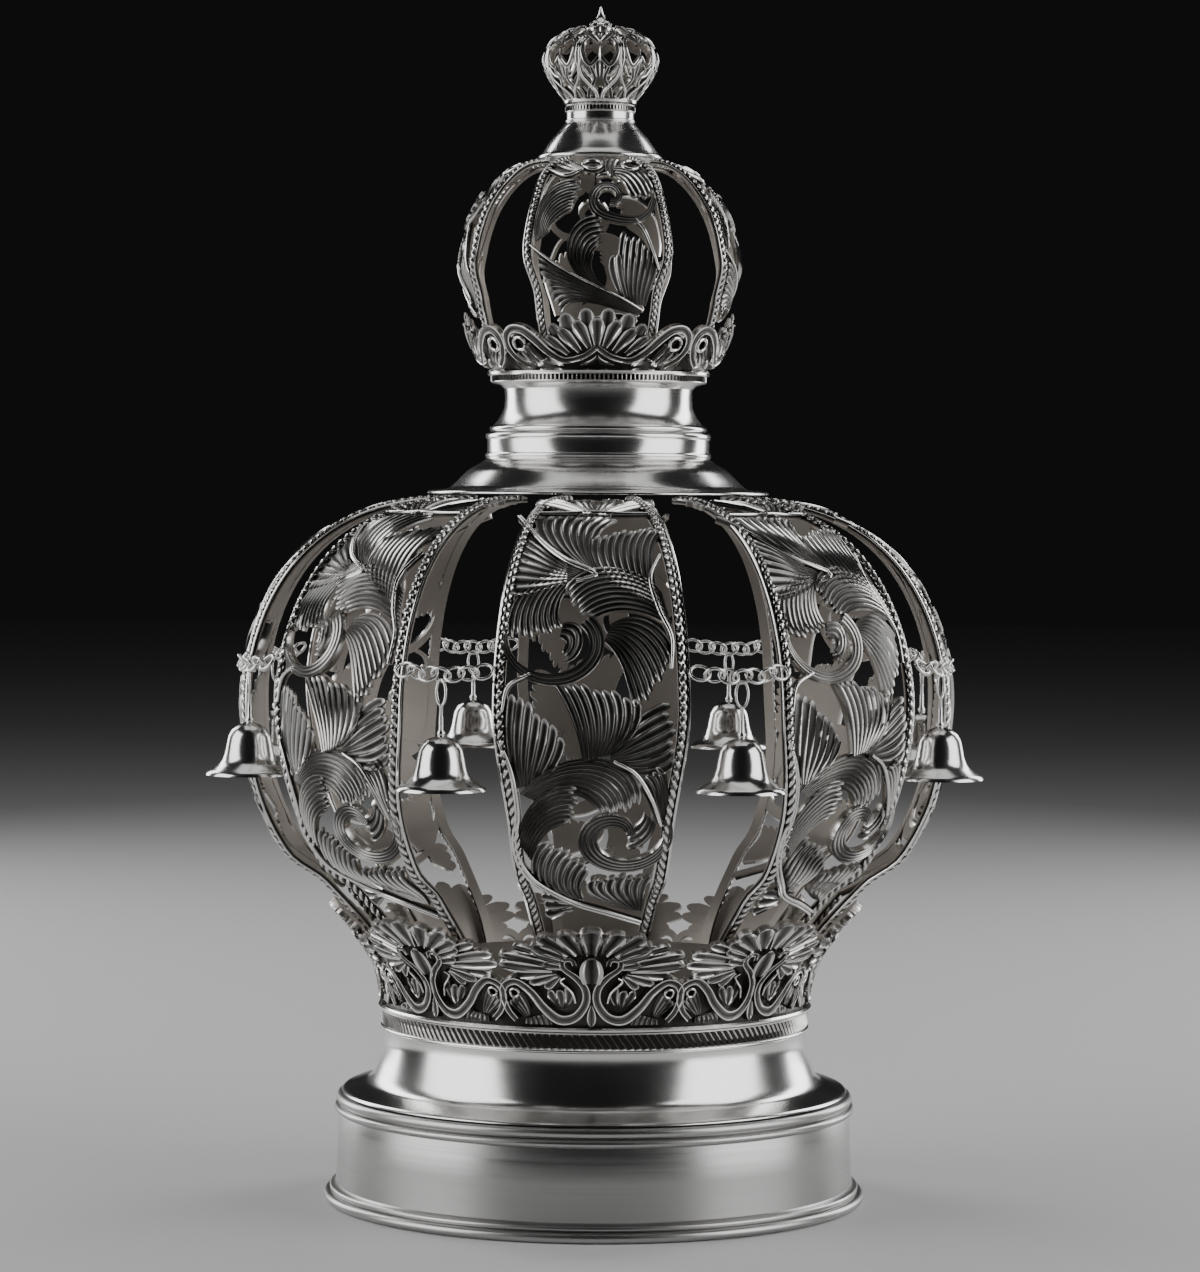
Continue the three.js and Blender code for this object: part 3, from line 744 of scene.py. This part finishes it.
def lathe(outline, sides=144, shape=None, dark=(0, 0), wear_and_shade=1.0):
    """Turns a closed outline of (radius, height) about the axis. shape(radius, height, angles)
    may move the radius, and what lies between the two heights of dark is painted dark as shade."""
    carving = Carving()
    outline = np.array(outline, float)
    on_axis = outline[:, 0] < 1e-6
    angles = np.arange(sides) * 2 * math.pi / sides
    index = []
    points = []
    for (radius, height), pole in zip(outline, on_axis):
        if pole:
            index.append([len(points)] * sides)
            points.append((0, 0, height))
            continue
        index.append(list(range(len(points), len(points) + sides)))
        radii = np.full(sides, radius) if shape is None else shape(radius, height, angles)
        points += list(zip(radii * np.cos(angles), radii * np.sin(angles), np.full(sides, height)))
    faces = []
    count = len(outline)
    for i in range(count):
        n = (i + 1) % count
        if on_axis[i] and on_axis[n]:
            continue
        for j in range(sides):
            k = (j + 1) % sides
            face = (index[i][j], index[i][k], index[n][k], index[n][j])
            faces.append(tuple(dict.fromkeys(face)))
    heights = np.array(points)[:, 2]
    # Points between the two heights of dark are marked 0: the ground of a milled band, painted dark as shade.
    carving.add(points, faces, np.where((heights > dark[0]) & (heights < dark[1]), 0.0, wear_and_shade))
    return carving


def foot_band():
    r, wall = FOOT_RADIUS, 84.6
    outer = [(r - 4.2, 0.2), *bead((r - 1.6, 0), (r - 2.4, 3.4), 1.9),
             *bead((r - 2.8, 3.5), (r - 3.2, 5.4), 0.8), (r - 4.2, 6.2), (r - 4.9, 18), (r - 5.1, 29.6)]
    beads = [*bead((r - 5.2, 29.8), (r - 5.2, 32.4), 1.5), *bead((r - 5.6, 32.6), (r - 6.2, FOOT_TOP), 1.5)]
    inner = [(wall, FOOT_TOP), (wall, 4), (r - 4.2, 2)]
    return lathe([*outer, *beads, *inner])


def bars(carving, radius, low, high, count, slant, width, proud):
    """A milled band: small ridges round the axis, their tops moved back by slant."""
    root = -0.3  # sunk into the band
    faces = [(0, 1, 2), (5, 4, 3), (0, 3, 4, 1), (1, 4, 5, 2), (2, 5, 3, 0)]
    for k in range(count):
        turn = 2 * math.pi * k / count
        points = []
        for height, lean in ((low, slant / 2), (high, -slant / 2)):
            for across, out in ((-width / 2, root), (0, proud), (width / 2, root)):
                angle = turn + (lean + across) / radius
                points.append((*(radius + out) * heading(math.degrees(angle)), height))
        carving.add(points, faces)


def base_cove():
    shoulder = rounded([(84, COVE_LOW), (85.2, COVE_LOW), (84.4, COVE_LOW + 1), (76.4, 39.8),
                        (74.6, 42), (72.6, 48), (71.2, 54), (71.1, 57.4)], 2.2)
    band = [*bead((71.2, 57.8), (71.3, 59.2), 0.9), (71.1, 59.4), (71.1, COVE_TOP - 0.8),
            *bead((71.2, COVE_TOP - 0.7), (71.2, COVE_TOP), 0.5)]
    inner = [(61.6, COVE_TOP), (63.4, 62), (68.8, 58), (69.6, 50), (73, 41), (83, 37.6)]
    # The ground between the milled bars is painted dark as shade.
    carving = lathe([*shoulder, *band, *inner], 180, dark=(59.3, COVE_TOP - 0.75))
    bars(carving, 71.1, 59.3, COVE_TOP - 0.7, 184, 3.2, 1, 0.7)
    return carving


def inner_plate():
    r, low, wall = 64.6, 65, 1.3
    return lathe([(0, PLATE_TOP), (r - 1, PLATE_TOP), (r - 0.3, PLATE_TOP - 0.3), (r, PLATE_TOP - 1),
                  (r, low), (r - wall, low), (r - wall, PLATE_TOP - wall), (0, PLATE_TOP - wall)], 96)


def shoulder_cap():
    outer = rounded([(50, CAP_LOW), (57.5, CAP_LOW), (57, CAP_LOW + 1), (50, 238.6), (47.7, 240.6),
                     (43.4, 245), (38.6, 247.6), (37.4, 248.8)], 1.6)
    collar = [*bead((37.4, 249), (37.4, 250.6), 0.5), (37.2, 251), (37.2, 255),
              *bead((37.2, 255.2), (37.2, CAP_TOP), 0.6)]
    return lathe([*outer, *collar, (36, CAP_TOP), (36, 248), (46.5, 239.2)])


def neck_collar():
    outer = [*bead((35.4, NECK_LOW), (35.6, 259.6), 0.9), (35, 260), (33, 262.6), (31.6, 265.6),
             (31.3, 269), (31.6, 272), (33, 273.4), (35.6, 274)]
    lip = [*bead((35.9, 274.1), (35.9, 274.6), 0.3), (35.7, 274.7), (35.7, 276.3),
           *bead((35.9, 276.4), (35.9, NECK_TOP), 0.3), (35, NECK_TOP), (0, NECK_TOP)]
    inner = [(0, 275.7), (30.2, 275.7), (30.6, 264.4), (34.4, 259)]
    # The ground between the milled bars is painted dark as shade.
    carving = lathe([*outer, *lip, *inner], dark=(274.65, 276.35))
    bars(carving, 35.7, 274.6, 276.4, 150, 0, 0.9, 0.45)
    return carving


def dome_cap():
    outer = [*bead((20.4, DOME_LOW), (20, 350.2), 0.6), (19.6, 350.6), (18.8, 351.8), (17.6, 353.6),
             (16, 355.8), (14.2, 357.9), (12.6, 359.7), (11.7, 361)]
    collar = [*bead((11.4, 361.2), (11.4, 362), 0.4), (11.3, 362.1), (11.3, 364.2),
              *bead((11.3, 364.3), (11.3, 364.9), 0.4), (11.3, 365), (11.3, 366.3),
              *bead((11.3, 366.4), (11.3, DOME_TOP), 0.4)]
    inner = [(0, DOME_TOP), (0, DOME_TOP - 1.3), (10.3, DOME_TOP - 1.3), (10.3, 361), (19.4, DOME_LOW)]
    # The ground between the milled bars is painted dark as shade.
    carving = lathe([*outer, *collar, *inner], 96, dark=(364.95, 366.35))
    bars(carving, 11.3, 364.9, 366.4, 60, 0, 0.7, 0.4)
    return carving


def finial_spire():
    """A flared point over a skirt of eight lobes."""
    low = SPIRE_LOW
    waist = low + 1.3

    def lobed(radius, height, angles):
        return radius * (1 + (0.12 * np.cos(8 * angles) - 0.06 if height < waist else 0))

    point = [(0, TIP), (0.25, TIP - 0.1), (0.55, TIP - 1.2), (0.95, TIP - 2.6), (1.45, TIP - 3.8)]
    skirt = [(2.1, waist + 0.3), (2.5, waist), (2.6, waist - 0.2), (3.3, low + 0.8),
             (3.6, low + 0.4), (3.4, low), (0, low)]
    return lathe([*point, *skirt], 64, lobed)


# ---- finial bud ----
def finial_bud():
    """Eight modules, each a pair of pointed windows over forked tracery, under folded leaves."""
    modules = 8
    bench = Bench(back=-1.3, crest=0, ridge=0.45, rows=9, step=0.2, per_knot=4)

    def border(v):
        return bud_shell.at(v)[0] * math.pi / modules

    for side in (1, -1):
        half = Half(bench, side)
        # a window with the short bar between the two, and its outer post
        half.stem([(0.2, 16.6), (1.6, 14.8), (3.1, 13.4), (4.9, 15), (6, 18.4), (5.4, 21.6), (3.6, 24)],
                  (0.5, 0.7, 0.6), section=RIMMED)
        half.stem([(border(12), 12.6), (border(15) - 0.6, 15.4), (border(19) - 0.5, 19),
                   (border(22) - 0.4, 22), (border(26), 26)], (0.5, 0.6, 0.5))
        # forked tracery under it
        half.stem([(border(0) - 0.8, 0.4), (3.3, 4.6), (1.6, 8.6), (3.1, 13)], (0.6, 0.7, 0.5),
                  section=RIMMED)
        half.stem([(0.5, 0.4), (1.4, 3.4), (3.4, 6), (border(9) - 0.5, 9.4), (border(12) - 0.2, 12.6)],
                  (0.6, 0.6, 0.5))
        half.stem([(2.2, 9.6), (4.2, 10.6), (border(12) - 1, 13.4)], (0.4, 0.6, 0.4))
        half.leaf(((0.4, 8.6), 50, (1.4, 14.4), 100), ((0, 8.8), 90, (0, 15.8), 90), 1,
                  section=RIMMED, lobe=0.1)
        # folded leaves over it
        half.leaf(((4.4, 25.6), 260, (0.1, 20.6), 220), ((0.6, 28), 270, (0, 22.4), 270), 2,
                  crest=0.7, lobe=0.05)
        half.leaf(((3.2, 23.4), 60, (4.2, 29.4), 110), ((5.4, 23.6), 30, (border(27), 28.4), 100), 2,
                  crest=1, tilt=side * 0.8)
    bench.band(through([(0, 15), (0, 17.6), (0, 19.4)], 18), (0.5, 0.4, 0.2))
    bench.leaf(((-1.6, 27), 110, (-0.8, 34), 60), ((1.6, 27), 70, (0.8, 34), 120), 2, crest=1, dome=0.8)
    carving = Carving()
    for k in range(modules):
        carving.merge(bench.carving, lambda points: bud_shell.lay(points, k * 360 / modules))
    foot = [(10.2, BUD_LOW), (12.2, BUD_LOW), (12.4, BUD_LOW + 0.8), (12, BUD_LOW + 1.5),
            (10.4, BUD_LOW + 1.6)]
    lid = [(0, BUD_TOP), (0, BUD_TOP - 1.6), (6.4, BUD_TOP - 2), (6.2, BUD_TOP - 1), (4, BUD_TOP)]
    for outline in (foot, lid):
        carving.merge(lathe(outline, 64))
    return carving


# ---- chains and bells ----
CHAIN_HEIGHT = 182.6
CHAIN_RADIUS = 119.9
CHAIN_HALF_ANGLE = 7.8
CHAIN_BOW = 3
CHAIN_SAG = 1.6
CHAIN_RINGS = 7


def chain_point(t):
    """A point of the middle line of a chain, from t = -1 at one rib to 1 at the next."""
    forward, half = CHAIN_RADIUS * heading(CHAIN_HALF_ANGLE)
    hang = 1 - t * t
    return np.array([forward + CHAIN_BOW * hang, half * t, CHAIN_HEIGHT - CHAIN_SAG * hang])


BELL_CIRCLE = chain_point(0)[0] - 0.2


def ring(carving, centre, along, across, half_length, half_breadth, wire_radius):
    """An oval wire ring about centre, in the plane of along and across."""
    steps, sides = 20, 7
    along = along / np.linalg.norm(along)
    across = across - along * (across @ along)
    across = across / np.linalg.norm(across)
    normal = np.cross(along, across)
    points = []
    for i in range(steps):
        a = 2 * math.pi * i / steps
        middle = centre + along * half_length * math.cos(a) + across * half_breadth * math.sin(a)
        out = along * math.cos(a) / half_length + across * math.sin(a) / half_breadth
        out = out / np.linalg.norm(out)
        for j in range(sides):
            b = 2 * math.pi * j / sides
            points.append(middle + wire_radius * (out * math.cos(b) + normal * math.sin(b)))
    faces = grid(steps, sides, around=True)
    last = (steps - 1) * sides
    faces += [(last + j, last + (j + 1) % sides, (j + 1) % sides, j) for j in range(sides)]
    carving.add(points, faces)


def chain():
    """Rings that hook into each other, leaning to one side and the other in turn."""
    carving = Carving()
    up = np.array([0, 0, 1.0])
    inset, lean = 0.96, 38
    for i in range(CHAIN_RINGS):
        t = (2 * i + 1) / CHAIN_RINGS - 1
        along = chain_point(t + 0.01) - chain_point(t - 0.01)
        out = np.cross(along / np.linalg.norm(along), up)
        upward, outward = heading(lean if i % 2 else -lean)
        ring(carving, chain_point(t * inset), along, up * upward + out * outward, 3.1, 2.7, 0.55)
    return carving


def bell():
    """A flared bell on its rod and oval loop, about its own axis."""
    outer = [(14.2, 0), (14.0, 0.9), (12.6, 1.8), (10.4, 3.2), (8.8, 5), (7.9, 7.4), (7.4, 10),
             (6.9, 12.6), (5.8, 14.8), (4, 16.2), (2, 16.8), (1.1, 17.2), (1.3, 18)]
    rod = [(0.7, 18.8), (0.6, 26), (0.9, 26.6), (0, 27)]
    inner = [(0, 15.4), (3.6, 15), (5.4, 13.4), (6.4, 10), (7, 6.6), (8.6, 3.8), (11.6, 1.6), (13.4, 0.3)]
    carving = lathe([(r, BELL_MOUTH + rise) for r, rise in (*outer, *rod, *inner)], 56)
    loop_top = CHAIN_HEIGHT - CHAIN_SAG - 1.5
    loop_low = BELL_MOUTH + 26.4
    middle = np.array([0, 0, (loop_top + loop_low) / 2])
    up, across = np.array([0, 0, 1.0]), np.array([0.3, 1.0, 0])
    ring(carving, middle, up, across, (loop_top - loop_low) / 2, 1.9, 0.45)
    return carving


# ---- materials ----
def material(name, colour, roughness, metallic=1.0):
    made = bpy.data.materials.new(name)
    made.use_nodes = True
    tree = made.node_tree
    shader = tree.nodes["Principled BSDF"]
    shader.inputs["Base Color"].default_value = (*colour, 1)
    shader.inputs["Roughness"].default_value = roughness
    shader.inputs["Metallic"].default_value = metallic
    return made, tree, shader


def node(tree, kind, **values):
    made = tree.nodes.new(kind)
    for key, value in values.items():
        if key in made.inputs:
            made.inputs[key].default_value = value
        else:
            setattr(made, key, value)
    return made


def noise(tree, scale, detail, stretch=(1, 1, 1)):
    """Noise by place on the object; its sizes are per metre."""
    place = node(tree, "ShaderNodeTexCoord")
    mapping = node(tree, "ShaderNodeMapping", Scale=stretch)
    made = node(tree, "ShaderNodeTexNoise", Scale=scale, Detail=detail)
    tree.links.new(place.outputs["Object"], mapping.inputs["Vector"])
    tree.links.new(mapping.outputs["Vector"], made.inputs["Vector"])
    return made.outputs["Fac"]


def ramp(tree, value, low, high, from_low=0.0, from_high=1.0):
    """A value's range from from_low to from_high, mapped to low to high."""
    ends = {"From Min": from_low, "From Max": from_high, "To Min": low, "To Max": high}
    made = node(tree, "ShaderNodeMapRange", **ends)
    tree.links.new(value, made.inputs["Value"])
    return made.outputs["Result"]


def mark(tree, name):
    """A carving's mark of wear and painted shade, or its inner value."""
    return node(tree, "ShaderNodeAttribute", attribute_name=name).outputs["Fac"]


def joined(tree, operation, one, other):
    made = node(tree, "ShaderNodeMath", operation=operation)
    tree.links.new(one, made.inputs[0])
    tree.links.new(other, made.inputs[1])
    return made.outputs[0]


def mix(tree, factor, one, other):
    """A colour between two; each is a colour or a socket."""
    made = node(tree, "ShaderNodeMix", data_type="RGBA")
    tree.links.new(factor, made.inputs["Factor"])
    for name, value in (("A", one), ("B", other)):
        socket = [s for s in made.inputs if s.name == name and s.type == "RGBA"][0]
        if isinstance(value, tuple):
            socket.default_value = (*value, 1)
        else:
            tree.links.new(value, socket)
    return [s for s in made.outputs if s.type == "RGBA"][0]


def bump(tree, shader, height, strength, distance):
    made = node(tree, "ShaderNodeBump", Strength=strength, Distance=distance)
    tree.links.new(height, made.inputs["Height"])
    tree.links.new(made.outputs["Normal"], shader.inputs["Normal"])


SILVER = (0.86, 0.85, 0.83)
HAZED = (0.78, 0.775, 0.77)
# Dark oxide in the carving's grooves; on the polished pieces, painted shade in the ground of the milled
# bands.
TARNISH_AND_SHADE = (0.035, 0.032, 0.03)
BRUSHED = (0.5, 0.495, 0.49)
BRUSHED_DARK = (0.43, 0.425, 0.42)
WARM_MATTE = (0.42, 0.385, 0.35)
DEEP_MATTE = (0.34, 0.31, 0.28)
FLOOR = (0.72, 0.72, 0.72)


def carved_silver(name):
    """Cast silver: bright rubbed ridges, dark oxide in the flutes, and a plain matte back."""
    made, tree, shader = material(name, SILVER, 0.2)
    rubbed = joined(tree, "ADD", mark(tree, "wear_and_shade"), ramp(tree, noise(tree, 90, 3), -0.12, 0.12))
    bright = ramp(tree, rubbed, 0.0, 1.0, 0.0, 0.75)
    face = mix(tree, bright, TARNISH_AND_SHADE, SILVER)
    back = mix(tree, noise(tree, 60, 4), WARM_MATTE, tuple(c * 0.82 for c in WARM_MATTE))
    flat = ramp(tree, mark(tree, "inner"), 0, 1, 0.35, 0.8)
    tree.links.new(mix(tree, flat, face, back), shader.inputs["Base Color"])
    rough = joined(tree, "MAXIMUM", ramp(tree, bright, 0.42, 0.16), ramp(tree, flat, 0, 0.5))
    tree.links.new(rough, shader.inputs["Roughness"])
    bump(tree, shader, noise(tree, 700, 2), 0.12, 0.0002)
    return made


def mirror_silver(name, roughness):
    """Polished silver with the faint haze and ripples of hand polishing; where a point's mark is 0, in the
    ground of a milled band, it is painted dark as shade.
    """
    made, tree, shader = material(name, SILVER, roughness)
    cloud = noise(tree, 25, 4)
    clean = mix(tree, cloud, SILVER, HAZED)
    # Points marked 0, the ground of each milled band, take the dark colour as painted shade.
    tree.links.new(mix(tree, mark(tree, "wear_and_shade"), TARNISH_AND_SHADE, clean), shader.inputs["Base Color"])
    tree.links.new(ramp(tree, cloud, roughness * 0.7, roughness * 1.8), shader.inputs["Roughness"])
    bump(tree, shader, noise(tree, 45, 1), 0.05, 0.0004)
    return made


def satin_silver(name):
    """Silver brushed round the foot in fine level lines."""
    made, tree, shader = material(name, BRUSHED, 0.3)
    lines = noise(tree, 60, 5, (0.3, 0.3, 14))
    tree.links.new(ramp(tree, lines, 0.28, 0.36, 0.3, 0.7), shader.inputs["Roughness"])
    tree.links.new(mix(tree, lines, BRUSHED, BRUSHED_DARK), shader.inputs["Base Color"])
    bump(tree, shader, lines, 0.06, 0.0001)
    return made


def matte_silver(name):
    """Unpolished silver, warm and a little uneven."""
    made, tree, shader = material(name, WARM_MATTE, 0.5)
    cloud = noise(tree, 40, 5)
    tree.links.new(mix(tree, cloud, WARM_MATTE, DEEP_MATTE), shader.inputs["Base Color"])
    tree.links.new(ramp(tree, cloud, 0.42, 0.58), shader.inputs["Roughness"])
    bump(tree, shader, noise(tree, 500, 3), 0.15, 0.0002)
    return made


# ---- pieces ----
def dress(node_name, carving, slot, sharp=38, place=None):
    """Shows a carving in place of a CAD node: its mesh in metres, its marks, and its slot with
    that slot's material. Edges turned by more than sharp degrees stay sharp."""
    points = np.vstack(carving.points)
    if place:
        points = place(points)
    name = f"{node_name}_dress"
    mesh = bpy.data.meshes.new(name)
    mesh.from_pydata((points * MM).tolist(), [], carving.faces)
    for mark in ("wear_and_shade", "inner"):
        values = np.concatenate(getattr(carving, mark)).astype(np.float32)
        mesh.attributes.new(mark, "FLOAT", "POINT").data.foreach_set("value", values)
    mesh.materials.append(looks[slot])
    mesh.polygons.foreach_set("use_smooth", [True] * len(mesh.polygons))
    mesh.set_sharp_from_angle(angle=math.radians(sharp))
    made = bpy.data.objects.new(name, mesh)
    bpy.context.scene.collection.objects.link(made)
    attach(made, "root")
    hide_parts(node_name)


def turned_by(angle, radius=0.0):
    """Moves points out to a radius and round to an angle."""
    c, s = heading(angle)

    def place(points):
        x, y, z = points.T
        x = x + radius
        return np.column_stack([x * c - y * s, x * s + y * c, z])

    return place


looks = {
    "cast_silver": carved_silver("cast_silver"),
    "polished_silver": mirror_silver("polished_silver", 0.15),
    "satin_silver": satin_silver("satin_silver"),
    "chain_silver": mirror_silver("chain_silver", 0.2),
    "matte_silver": matte_silver("matte_silver"),
}

dress("foot_band", foot_band(), "satin_silver")
dress("base_cove", base_cove(), "polished_silver")
dress("inner_plate", inner_plate(), "matte_silver")
dress("shoulder_cap", shoulder_cap(), "polished_silver")
dress("neck_collar", neck_collar(), "polished_silver")
dress("dome_cap", dome_cap(), "polished_silver")
dress("finial_spire", finial_spire(), "polished_silver")
dress("finial_bud", finial_bud(), "cast_silver")
lower_ring = gallery(big_shell, RIBS, lower_module(), LOWER_GROUND, -2.2, 13, 1.2)
upper_ring = gallery(small_shell, SMALL_RIBS, upper_module(), UPPER_GROUND, -1.6, 6, 1)
dress("lower_gallery", lower_ring, "cast_silver")
dress("upper_gallery", upper_ring, "cast_silver")

for name, design, count, shell, sink in (
    ("rib", big_rib(), RIBS, big_shell, big_sink),
    ("small_rib", small_rib(), SMALL_RIBS, small_shell, small_sink),
):
    for k in range(count):
        turn = k * 360 / count
        dress(f"{name}_{k + 1}", design, "cast_silver",
              place=lambda points: shell.lay(points, turn, sink))

chain_design = chain()
bell_design = bell()
for k in range(RIBS):
    turn = (k + 0.5) * 360 / RIBS
    dress(f"chain_{k + 1}", chain_design, "chain_silver", 60, turned_by(turn))
    dress(f"bell_{k + 1}", bell_design, "polished_silver", 60, turned_by(turn, BELL_CIRCLE))


# ---- floor, lights, camera ----
def studio_floor():
    """A pale floor; its sizes, and those of the lights and the camera, are in metres."""
    mesh = bpy.data.meshes.new("studio_floor")
    half = 6
    corners = [(-half, -half, 0), (half, -half, 0), (half, half, 0), (-half, half, 0)]
    mesh.from_pydata(corners, [], [(0, 1, 2, 3)])
    mesh.materials.append(material("studio_floor", FLOOR, 0.6, 0)[0])
    made = bpy.data.objects.new("studio_floor", mesh)
    bpy.context.scene.collection.objects.link(made)
    made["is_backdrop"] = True


def softbox(name, place, aim, width, height, power):
    light = bpy.data.lights.new(name, "AREA")
    light.shape = "RECTANGLE"
    light.size = width
    light.size_y = height
    light.energy = power
    made = bpy.data.objects.new(name, light)
    made.location = place
    made.rotation_euler = (Vector(aim) - Vector(place)).to_track_quat("-Z", "Y").to_euler()
    bpy.context.scene.collection.objects.link(made)


def studio():
    """Tall boxes at both sides leave the front of each round form dark; rims light it from behind."""
    studio_floor()
    softbox("left_box", (-1.3, -0.35, 0.7), (0, 0, 0.45), 1.2, 1.4, 14)
    softbox("right_box", (1.27, -0.4, 0.7), (0, 0, 0.45), 1.2, 1.4, 14)
    softbox("left_rim", (-0.95, 0.95, 0.6), (0, 0, 0.25), 0.5, 1.1, 8)
    softbox("right_rim", (0.95, 0.95, 0.6), (0, 0, 0.25), 0.5, 1.1, 8)
    softbox("top_box", (0, 0.2, 1.5), (0, 0, 0.2), 1.0, 1.0, 2.5)
    world = bpy.data.worlds.new("studio_dark")
    world.use_nodes = True
    dark = (0.006, 0.006, 0.006, 1)
    world.node_tree.nodes["Background"].inputs["Color"].default_value = dark
    bpy.context.scene.world = world


def camera():
    """The camera of the photo's view, a little above the crown's middle and hardly rolled."""
    eye, aim = Vector((0.0193, -1.38, 0.238)), Vector((0.001, 0, 0.1893))
    roll = Quaternion((0, 0, 1), math.radians(0.36))
    lens = bpy.data.cameras.new("camera")
    lens.sensor_width = 36
    lens.lens = 116.2
    made = bpy.data.objects.new("camera", lens)
    made.location = eye
    made.rotation_euler = ((aim - eye).to_track_quat("-Z", "Y") @ roll).to_euler()
    bpy.context.scene.collection.objects.link(made)
    bpy.context.scene.camera = made


studio()
camera()

visual_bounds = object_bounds()
boxes = {"cad": cad_bounds, "visual": visual_bounds}
{name: [list(corner) for corner in box] for name, box in boxes.items()}
